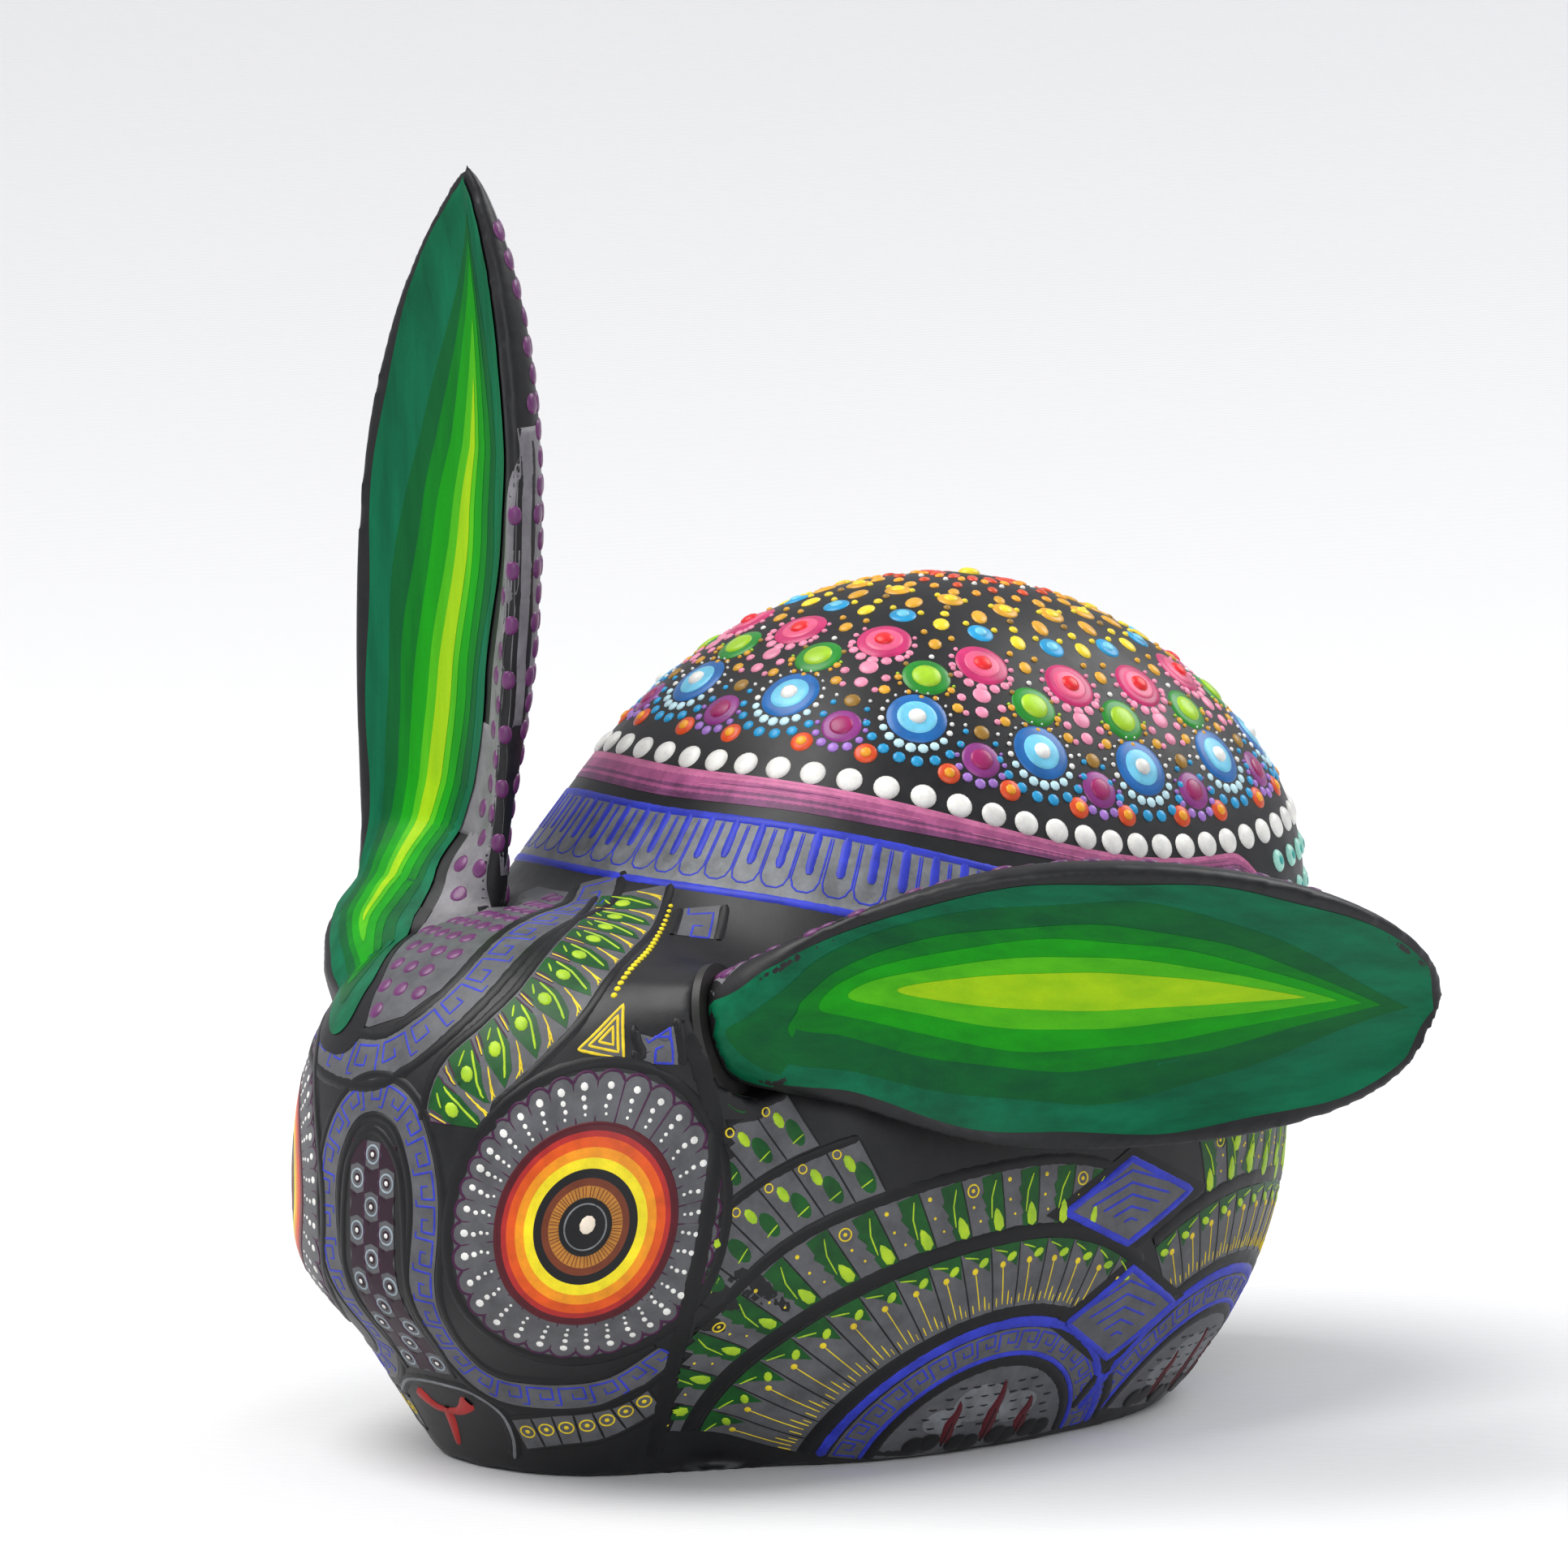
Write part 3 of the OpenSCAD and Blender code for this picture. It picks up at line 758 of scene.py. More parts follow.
# ------------------------------------------------------------------ the dome of the back
def drop_places(node):
    """Centre and radius (millimetres) of each separate drop of a CAD node."""
    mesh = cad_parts[node].data
    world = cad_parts[node].matrix_world
    parent = list(range(len(mesh.vertices)))

    def root(i):
        while parent[i] != i:
            parent[i] = parent[parent[i]]
            i = parent[i]
        return i

    for e in mesh.edges:
        a, b = (root(i) for i in e.vertices)
        parent[a] = b
    parts = {}
    for v in mesh.vertices:
        parts.setdefault(root(v.index), []).append(world @ v.co / MM)
    merged = []
    for pts in parts.values():
        centre = sum(pts, Vector()) / len(pts)
        reach = max((p - centre).length for p in pts)
        for m in merged:
            if (m[0] - centre).length < 0.6 * max(reach, m[1]):
                m[1] = max(m[1], reach)
                break
        else:
            merged.append([centre, reach])
    return merged


def paint_drops(node, layers, surface=None):
    """Lays each drop as stacked dabs: layers are (colour, part of the radius, rise, base)."""
    surface = surface or skin
    for centre, reach in drop_places(node):
        place, normal = surface.near(centre)
        for colour, part, rise, base in layers:
            dab(colour, surface, place, normal, reach * part, rise, base)


def crown_dot(colour, polar, az, radius, rise=0.2):
    place, normal = crown(polar, az)
    dab(colour, skin, place, normal, radius, rise)


def halo(colours, polar, az, reach, count, small, big, rise=0.2, gap=0.0, start=0.0):
    """Dots round a disc that grow from the top of the figure down to the outer side."""
    place, normal = crown(polar, az)
    down = crown(polar + 2, az)[0] - place
    down = (down - normal * down.dot(normal)).normalized()
    side = normal.cross(down)
    for k in range(count):
        a = 2 * math.pi * (k + start) / count
        grow = (0.5 + 0.5 * math.cos(a)) ** 1.6
        if math.cos(a) < -1 + gap:
            continue
        r = small + (big - small) * grow
        q, n = skin.near(place + (down * math.cos(a) + side * math.sin(a)) * (reach + 0.8 * r))
        dab(colours[0] if grow < 0.6 else colours[-1], skin, q, n, r, rise)


def paint_dome():
    paint_drops("pink_drops", [("crimson", 1.0, 0.22, 0), ("rose", 0.66, 0.12, 0.2),
                               ("scarlet", 0.36, 0.42, 0.25)])
    paint_drops("green_drops", [("disc_green", 1.0, 0.22, 0), ("disc_lime", 0.6, 0.3, 0.2)])
    paint_drops("blue_drops", [("disc_blue", 1.0, 0.22, 0), ("sky", 0.64, 0.12, 0.2),
                               ("bead_white", 0.3, 0.5, 0.25)])
    paint_drops("violet_drops", [("violet", 1.0, 0.22, 0), ("wine", 0.58, 0.2, 0.2)])
    paint_drops("small_blue_drops", [("dot_blue", 1.0, 0.22, 0), ("sky", 0.5, 0.2, 0.2)])
    paint_drops("gold_drops", [("gold", 1.0, 0.24, 0), ("sun", 0.55, 0.2, 0.2)])
    paint_drops("orange_drops", [("drop_red", 1.0, 0.24, 0), ("drop_amber", 0.5, 0.2, 0.22)])
    paint_drops("border_beads", [("bead_white", 1.0, 0.45, 0)])
    paint_drops("turquoise_beads", [("mint", 1.0, 0.4, 0), ("teal_bead", 0.45, 0.12, 0.36)])
    paint_drops("flower_drop", [("black", 1.0, 0.16, 0), ("sun", 0.24, 0.5, 0.2)])
    wide = 360 / REPEATS
    for k in range(REPEATS):
        az = k * wide
        mid = az + wide / 2
        for tint, polar, at, r, long in (
                ("petal_red", 4.6, az, 0.62, 1.9), ("drop_amber", 5.8, mid, 0.42, 1.6),
                ("bead_white", 7.2, az, 0.3, 1), ("drop_red", 8.8, mid, 0.55, 1.3),
                ("drop_amber", 10.6, az, 0.5, 1.3), ("gold", 11.6, mid, 0.62, 1.4),
                ("sun", 13.6, mid + 6.5, 0.34, 1), ("sun", 13.6, mid - 6.5, 0.34, 1),
                ("gold", 16.8, az, 0.85, 1.5), ("ochre", 16.4, mid, 0.4, 1),
                ("sun", 18.0, mid, 0.5, 1), ("sun", 20.4, mid, 0.85, 1.3),
                ("gold", 22.8, mid - 4, 0.36, 1), ("gold", 22.8, mid + 4, 0.36, 1),
                ("sun", 19.0, az + 5, 0.36, 1), ("sun", 19.0, az - 5, 0.36, 1),
                ("gold", 24.6, mid, 0.7, 1.2)):
            place, normal = crown(polar, at)
            out = crown(polar + 1.5, at)[0] - place
            dab(tint, skin, place, normal, r, 0.26, along=out, stretch=long)
        halo(["pink"], 26, az, 2.85, 15, 0.2, 0.62, gap=0.45)
        for d, polar, r in ((0.0, 31.0, 1.0), (-4.6, 32.2, 0.5), (4.6, 32.2, 0.5), (0.0, 33.6, 0.72),
                            (-3.4, 34.4, 0.36), (3.4, 34.4, 0.36), (-7.2, 28.0, 0.3), (7.2, 28.0, 0.3)):
            crown_dot("pink", polar, az + d, r, 0.2)
        halo(["disc_lime", "gold"], 30.5, mid, 2.7, 13, 0.12, 0.3, gap=0.9)
        crown_dot("bead_white", 27.0, az + 0.5 * wide, 0.3)
        for side in SIDES:
            crown_dot("gold", 34.0, az + side * 5.2, 0.62)
            crown_dot("gold", 31.6, az + side * 7.0, 0.42)
            crown_dot("ochre", 29.2, az + side * 7.6, 0.3)
        crown_dot("ochre", 36.6, az, 0.85, 0.25)
        halo(["bead_white", "pale_blue"], 37, mid, 3.3, 19, 0.13, 0.58)
        halo(["dot_blue"], 37, mid, 4.75, 18, 0.16, 0.66, gap=0.8, start=0.5)
        halo(["lilac"], 40.5, az, 2.25, 12, 0.14, 0.6, gap=0.3)
        crown_dot("bead_white", 36.2, az + 3.4, 0.2)
        crown_dot("bead_white", 36.2, az - 3.4, 0.2)


# ------------------------------------------------------------------ sash and collar under the border
def sash_top(az):
    return blend([(0, 49.1), (108, 49.1), (128, 62.4), (180, 62.4)], abs(az))


def sash_bottom(az):
    return blend([(0, 53.0), (30, 52.8), (70, 51.6), (108, 51.6), (130, 65.2), (180, 65.2)], abs(az))


def sash_part(az, t):
    return sash_top(az) + (sash_bottom(az) - sash_top(az)) * t


def collar_top(az):
    return blend([(0, 54.3), (50, 54.4), (100, 54.4), (132, 67.0), (180, 67.0)], abs(az))


def girdle(polar_of, az0=-180, az1=180, step=2):
    return Band(skin, [crown(polar_of(az), az)[0] for az in np.arange(az0, az1 + step / 2, step)])


def paint_sash():
    tones = ["band_pink"] * 2 + ["magenta"] * 3 + ["band_plum", "magenta"] + ["band_plum"] * 2
    rows = len(tones)
    for k, colour in enumerate(tones):
        mid = girdle(lambda az: sash_part(az, (k + 0.5) / rows))
        half = lambda s, m=mid: 0.5 * 0.9 * (sash_bottom(s / m.length * 360 - 180)
                                             - sash_top(s / m.length * 360 - 180)) / rows
        fill(colour, mid, 0, mid.length, lambda s: -half(s) * 1.08, lambda s: half(s) * 1.08, 0.04)
    for k in range(26):
        t = rng.random()
        a0 = rng.uniform(-180, 150)
        streak = girdle(lambda az: sash_part(az, t), a0, a0 + rng.uniform(12, 40))
        tone = "band_pink" if rng.random() > t else "band_plum"
        line(tone, streak, [(0, 0), (streak.length, 0.1 * rng.uniform(-1, 1))], 0.14, 0.06, blunt=False)


def paint_collar():
    top = girdle(collar_top)
    reach = 8.6
    fill("pale_grey", top, 0, top.length, -reach + 0.3, -0.3)
    line("blue", top, [(0, -0.5), (top.length, -0.5)], 0.95, 0.12)
    line("blue", top, [(0, -reach), (top.length, -reach)], 0.95, 0.12)
    count = round(top.length / 2.9)
    step = top.length / count
    for k in range(count):
        s = (k + 0.5) * step
        low = -0.6 * reach + rng.uniform(-0.3, 0.3)
        line("blue", top, [(s, -0.6), (s + 0.1, low)], 1.05, 0.13)
        bag = [(-0.46, -1.0), (-0.46, -0.7 * reach), (-0.36, -0.8 * reach), (-0.16, -0.85 * reach),
               (0.16, -0.85 * reach), (0.36, -0.8 * reach), (0.46, -0.7 * reach), (0.46, -1.0)]
        line("blue", top, [(s + x * step, d) for x, d in bag], 0.26, 0.08)


# ------------------------------------------------------------------ the head
EYE = (30.6, 0.3)          # star chart
EYE_R = 9.35               # mean radius of the outer eye ring, millimetres
EYE_RINGS = [("maroon", 1.0), ("red", 0.93), ("orange_red", 0.87), ("orange", 0.77), ("bright_yellow", 0.67),
             ("black", 0.565), ("brown", 0.475), ("tan", 0.40), ("black", 0.27)]
CREASE = [(44.6, 26), (48, 13.4), (46.8, 1.4), (44.4, -10.4), (39.2, -30.4), (35.1, -44)]


def paint_eye(side):
    centre = star(EYE[0] * side, EYE[1])
    tilt = UP + Vector((0.34 * side, 0.36, 0))
    rose = Rose(skin, centre[0], tilt, 18, side)
    tall = lambda a: 1 / math.hypot(math.cos(math.radians(a)) / 1.10, math.sin(math.radians(a)) / 0.915)
    chart = lambda a, r: rose(r * EYE_R * tall(a), a)

    def around(colour, r, pen, rise=0.1):
        stroke(colour, [chart(a, r) for a in range(0, 361, 4)], pen, rise)

    def disc(colour, r0, r1, rise):
        layers = max(1, int((r1 - r0) * EYE_R))
        sheet(colour, lambda i, j: chart(360 * i, r0 + (r1 - r0) * j), 90, layers, rise)

    disc("grey", 1.0, 1.5, 0.04)
    inner = 0.0
    for colour, r in reversed(EYE_RINGS):
        disc(colour, inner, r, 0.05)
        inner = r
    for k in range(60):
        a = 6 * k + rng.uniform(-1, 1)
        line("brown", chart, [(a, 0.29), (a, 0.395)], 0.16, 0.09)
    around("black", 0.275, 0.3)
    around("pale_grey", 0.225, 0.2, 0.12)
    dab("cream", skin, *chart(20, 0.03), 0.75, 0.22, along=tilt, stretch=1.35)
    petals = 34
    for k in range(petals):
        a = 360 * (k + 0.5) / petals
        half = 180 / petals
        line("plum", chart, [(a + half, 1.0), (a + half, 1.42)], 0.34, 0.09)
        lip = [(a + x * half, r) for x, r in ((-1, 1.42), (-0.62, 1.49), (0, 1.52), (0.62, 1.49), (1, 1.42))]
        stroke("plum", [chart(*p) for p in flow(lip, 4)], 0.36, 0.09)
        for r, size in ((1.09, 0.17), (1.165, 0.22), (1.255, 0.29), (1.37, 0.40)):
            x = a + half * 0.15 * rng.uniform(-1, 1)
            dab("white", skin, *chart(x, r), size * rng.uniform(0.86, 1.1), 0.1,
                along=chart(x, r + 0.1)[0] - chart(x, r)[0], stretch=1.15)
    around("maroon", 1.0, 0.4)
    around("black", 1.6, 1.3, 0.16)


def paint_nose():
    right_half = [(4.2, 12.6), (7.6, 7), (8.6, 0), (7.3, -11.8), (7.2, -19.5), (10.2, -24.8), (17, -27.0),
                  (30.9, -27), (40.5, -21.0)]
    left_half = [(-2 - az, el) for az, el in reversed(right_half)]
    arch = trail(left_half + [(-1, 14.4)] + right_half)
    wide = 3.1
    greca(arch, arch.length, -wide / 2, wide / 2, 3.2)
    outline(arch, arch.length, (-wide / 2 - 0.5, wide / 2 + 0.5), 1.0)
    panel = trail([(-1, 8.6), (-1, 0), (-1, -10), (-1, -18), (-1, -24.5)])
    across = 2.15
    rows = 10
    along = panel.length / rows
    fill("grey", panel, 0, panel.length, -1.5 * across, 1.5 * across)
    for i in range(rows):
        for j in (-1, 0, 1):
            s, d = (i + 0.5) * along, j * across
            if (i + j) % 2:
                x, y = along * 0.56, across * 0.56
                star_cell = [(s - x, d - y), (s - 0.1, d - 0.72 * y), (s + x, d - y), (s + 0.72 * x, d),
                             (s + x, d + y), (s, d + 0.72 * y), (s - x, d + y), (s - 0.72 * x, d)]
                area("plum_black", panel, star_cell, 0.07, 0.6)
            else:
                ring_line("pale_blue_grey", panel, s, d, 0.88, 0.26)
                spot("plum_black", panel, s, d, 0.6, 0.08)
                spot("white", panel, s, d, 0.3, 0.16)
        for d in (-0.5, 0.5):
            line("plum", panel, [(i * along, d * across), ((i + 1) * along, d * across)], 0.2, 0.09)
    rim = trail([(-6.6, -25), (-7.0, -12), (-6.8, 0), (-5.4, 6.6), (-1, 10.0), (3.4, 6.6), (4.8, 0),
                 (5.0, -12), (4.6, -25)])
    line("black", rim, [(0, 0), (rim.length, 0)], 1.0, 0.14)


def paint_mouth():
    """Red cleft of the mouth with two drop-shaped ends, ringed by a thin grey line."""
    muzzle = trail([(-14, -30.5), (-9, -27.6), (-4, -26.6), (2, -26.6), (7, -27.4), (11, -30.5), (11.5, -35),
                    (10, -39)])
    line("black", muzzle, [(0, 0), (muzzle.length, 0)], 1.5, 0.12)
    line("pale_grey", muzzle, [(0, 0), (muzzle.length, 0)], 0.45, 0.2)
    for side in SIDES:
        lip = trail([(-1, -31.6), (-1 + 3.2 * side, -31.2), (-1 + 6.4 * side, -29.0)])
        stroke("red", chart_line(lip, [(0, 0), (lip.length, 0)], 0.4), lambda t: 0.8 + 1.5 * t * t, 0.2)
    stem = trail([(-1, -31), (-1.6, -34), (-3.0, -38)])
    stroke("red", chart_line(stem, [(0, 0), (stem.length, 0)], 0.4), lambda t: 1.5 - 0.7 * t, 0.2)


def paint_cheek(side):
    jaw = trail([(13, -34.2), (20, -33.6), (28, -33.4), (37, -30.5)], side)
    fill("grey", jaw, 0, jaw.length, -2.0, 1.7)
    cells = 7
    for k in range(cells):
        s = (k + 0.5) * jaw.length / cells
        ring_line("yellow", jaw, s, 0.1, 0.72, 0.22)
        spot("yellow", jaw, s, 0.1, 0.28)
        line("black", jaw, [(s + jaw.length / cells / 2, -2), (s + jaw.length / cells / 2, 1.7)], 0.3)
    outline(jaw, jaw.length, (-2.3, 2.0), 0.7)
    neck = trail(CREASE, side)
    line("black", neck, [(0, 0), (neck.length, 0)], 1.9, 0.16)


def paint_forehead():
    """Leaf band from the collar down to the left eye, with the beaded strip and corner pieces beside."""
    leaves = trail([(13.6, 64), (20.5, 52), (22.6, 42), (21.6, 31), (17.6, 23.4), (12.9, 17.6), (12.2, 12.2)])
    leaf_cells(leaves, leaves.length, -3.4, 3.7, 11)
    outline(leaves, leaves.length, (-3.9, 4.2), 1.1)
    beads = trail([(33.5, 60), (33.8, 50), (33.6, 42.3), (31.6, 31.4)])
    count = int(beads.length / 0.85)
    for k in range(count):
        spot("bright_yellow", beads, (k + 0.5) * beads.length / count, 0,
             0.27 + 0.08 * math.sin(2 * k / count), 0.2)
    for ends in ([(44.6, 58), (43.2, 50)], [(39.9, 30), (39.8, 22.5)]):
        side_fret = trail(ends)
        greca(side_fret, side_fret.length, -1.8, 1.8, 3.6)
        outline(side_fret, side_fret.length, (-2.3, 2.3), 1.1)
    corner = [(27.9, 23.6), (33.6, 30.5), (34.6, 22.8)]
    area("grey", star, corner, 0.05, 1.2)
    mid = [sum(c) / 3 for c in zip(*corner)]
    for part in (1.0, 0.66, 0.33):
        nested = [tuple(m + (c - m) * part for c, m in zip(p, mid)) for p in corner]
        line("yellow", star, nested, 0.34, 0.12, closed=True)


FOOT_GROUND = [(12, 61), (3.5, 52), (-0.6, 45), (-3.4, 35), (-2.2, 29.6), (1.8, 25), (8, 22.6), (18, 22.8),
               (26, 25), (40, 34), (46, 46), (36, 58)]


def paint_ear_foot():
    """Grey ground in front of the upright ear, and the wide fret band that sweeps below it."""
    band = trail([(10.4, 66), (0.5, 60), (-2, 54), (-5.6, 46), (-8.0, 35), (-6.6, 27.9), (-1.2, 21.4),
                  (5.7, 18.4), (18.5, 18.9), (28, 21.6), (36, 26)], -1)
    wide = 4.2
    greca(band, band.length, -wide / 2, wide / 2, 4.3)
    outline(band, band.length, (-wide / 2 - 0.5, wide / 2 + 0.5), 1.3)
    area("grey", lambda az, el: star(-az, el), FOOT_GROUND, 0.05, 1.4)


# ------------------------------------------------------------------ the flanks
FRONT_FAN = Vector((26.9, -18.9, 0.6))
REAR_FAN = Vector((25.5, 9.5, 0.6))
FAN_CUT = 40               # the inner bands stop here, at the lozenges
FAN_CUT_OUTER = 20


def behind_crease(p, side):
    az, el = star_angles(p)
    return az * side > blend(sorted((e, a) for a, e in CREASE), el) + 1.4


def paint_fan(side, front):
    centre = FRONT_FAN if front else REAR_FAN
    rose = Rose(skin, Vector((centre.x * side, centre.y, centre.z)), UP, 54, side)
    turn = 1 if front else -1

    def reach(a, r):
        """The rings are wider to the outer side of a fan than over its top."""
        spread = min(max((r - 13) / 12, 0), 1)
        return r * (1 + (0.02 + 0.2 * spread) * math.sin(math.radians(min(a, 0))) ** 2)

    def ring(r0, a0, a1):
        """Chart whose s runs clockwise over the arc and d outward from r0."""
        length = math.radians(a1 - a0) * (r0 + 4)

        def chart(s, d):
            a = a0 + s / length * (a1 - a0)
            return rose(reach(a, r0 + d), turn * a)
        return chart, length

    Paint.within = (lambda p: p.z > 0.25 and behind_crease(p, side)) if front else \
        (lambda p: p.z > 0.25 and p.x * side > 0.7)
    paint_grove(rose, ring(0, -96, 90))
    chart, n = ring(11.4, -96, 90)
    line("black", chart, [(0, -0.2), (n, -0.2)], 1.3, 0.11)
    line("blue", chart, [(0, 0.7), (n, 0.7)], 0.6, 0.12)
    greca(lambda s, d: chart(s, d + 1.0), n, 0, 2.6, 2.9)
    line("blue", chart, [(0, 4.2), (n, 4.2)], 1.2, 0.12)
    line("black", chart, [(0, 5.5), (n, 5.5)], 1.5, 0.11)
    chart, n = ring(17.5, -96, FAN_CUT)
    pin_cells(chart, n, 0, 6.8, 16)
    line("black", chart, [(0, 7.6), (n, 7.6)], 1.8, 0.14)
    chart, n = ring(25.8, -96, FAN_CUT_OUTER)
    step_cells(chart, n, 0, 5.8, 13)
    line("black", chart, [(0, 6.3), (n, 6.3)], 1.3, 0.12)
    if front:
        oval_cells(*ring(32.8, -88, -30), 5.6)
        oval_cells(*ring(39.0, -74, -36), 5.6)
        oval_cells(*ring(45.2, -66, -40), 5.6)
    Paint.within = None


def paint_grove(rose, floor_ring):
    """The misty half disc of a fan: three cypresses, dark hills at their feet and rows of short dashes."""
    chart, n = floor_ring
    fill("grey", chart, 0, n, 0.2, 10.9)
    flat = lambda x, y: rose(math.hypot(x, y), math.degrees(math.atan2(x, y)))
    for x, y, r in ((-1.2, 6.4, 2.4), (3.4, 5.2, 2.0), (-5.0, 4.4, 1.7)):
        along = flat(x + 1, y)[0] - flat(x, y)[0]
        dab("pale_grey", skin, *flat(x, y), r, 0.02, 0.05, along=along, stretch=1.4)
    for row in range(5):
        y = 3.6 + 1.25 * row
        half = (10.2 ** 2 - y ** 2) ** 0.5 - 0.8 if y < 10 else 0
        x = -half + 0.4 * (row % 2)
        while x < half:
            stroke("black", [flat(x, y), flat(x + 0.45, y - 0.06), flat(x + 0.9, y)], 0.34, 0.1)
            x += rng.uniform(1.5, 2.4)
    for x, tall in ((-3.9, 7.0), (0.9, 9.0), (5.2, 6.4)):
        tree = [flat(x + 0.15 * math.sin(k), 1.2 + (tall - 1.2) * k / 10) for k in range(11)]
        stroke("maroon", tree, lambda t: 0.25 + 1.5 * math.sin(math.pi * min(1, 0.25 + 0.75 * t)), 0.16,
               blunt=False)
        line("black", flat, [(x, 1.0), (x, tall * 0.6)], 0.2, 0.22)
    for x in (-7.2, -5.6, -2.2, -0.6, 2.6, 4.0, 6.8, 8.4):
        dab("black", skin, *flat(x, 1.3 + 0.3 * math.sin(3 * x)), 1.25, 0.1, 0.14)


def paint_lozenges(side):
    """Two blue lozenges with nested chevrons between the fans."""
    for place, tall, wide in ((Vector((36.8, -6.2, 24.6)), 4.6, 9.6), (Vector((34.1, -5.0, 13.0)), 5.4, 8.4)):
        rose = Rose(skin, Vector((place.x * side, place.y, place.z)), UP, 13, side)
        flat = lambda x, y: rose(math.hypot(x, y), math.degrees(math.atan2(x, y)))
        shape = lambda k: [(-wide * k, 0), (0, tall * k), (wide * k, 0), (0, -tall * k)]
        area("black", flat, shape(1.2), 0.10, 0.9)
        area("grey", flat, shape(0.92), 0.14, 0.9)
        line("blue", flat, shape(0.92), 0.95, 0.22, closed=True)
        for k in range(5):
            arm, peak = 0.72 - 0.155 * k, tall * (0.68 - 0.26 * k)
            drop = tall * 0.66 * arm
            feet = max(peak - drop, -tall * (0.8 - arm))
            line("blue", flat, [(-wide * arm * (peak - feet) / drop, feet), (0, peak),
                                (wide * arm * (peak - feet) / drop, feet)], 0.36, 0.2)


def paint_upper_flank(side):
    """Fret and stepped-leaf bands between the collar and the fans."""
    low = lambda az: blend([(0, 68.0), (100, 68.0), (132, 79.5), (180, 79.5)], abs(az))
    start = 44 if side > 0 else 28
    top = Band(skin, [crown(low(az), az * side)[0] for az in range(start, 180, 2)], side)
    Paint.within = lambda p: p.x * side > 0.7 and behind_crease(p, side)
    fill("grey", top, 0, top.length, -0.8, 0)
    greca(lambda s, d: top(s, -4.4 + d), top.length, 0, 4.2, 4.3)
    outline(top, top.length, (0.4, -5.0), 1.2)
    lower = Band(skin, [crown(low(az) + 5.5 / 0.87, az * side)[0] for az in range(start, 180, 2)], side)
    drop = lambda s: -blend([(0, 9.0), (0.55, 11.0), (0.75, 6.5), (1, 6.5)], s / lower.length)
    chart = lambda s, d: lower(s, drop(s) + d * -drop(s) / 9.0)
    step_cells(chart, lower.length, 0.6, 8.6, round(lower.length / 3.4))
    line("black", lower, [(0, 0.0), (lower.length, 0.0)], 1.1, 0.12)
    Paint.within = None


def paint_tail():
    """Rings of lime and yellow dots round the short tail."""
    middle = Vector((0, max(p.y for p in skin.points) - 8, 15))
    rings = ((0, 1, "bright_yellow"), (24, 8, "lime"), (44, 13, "bright_yellow"), (64, 17, "lime"))
    for angle, count, colour in rings:
        for k in range(count):
            turn, tilt = 2 * math.pi * k / count, math.radians(angle)
            way = Vector((math.sin(tilt) * math.cos(turn), math.cos(tilt), math.sin(tilt) * math.sin(turn)))
            p, n = skin.cast(middle + way * 16, -way)
            if p.z > 1:
                dab(colour, skin, p, n, 0.62, 0.16)


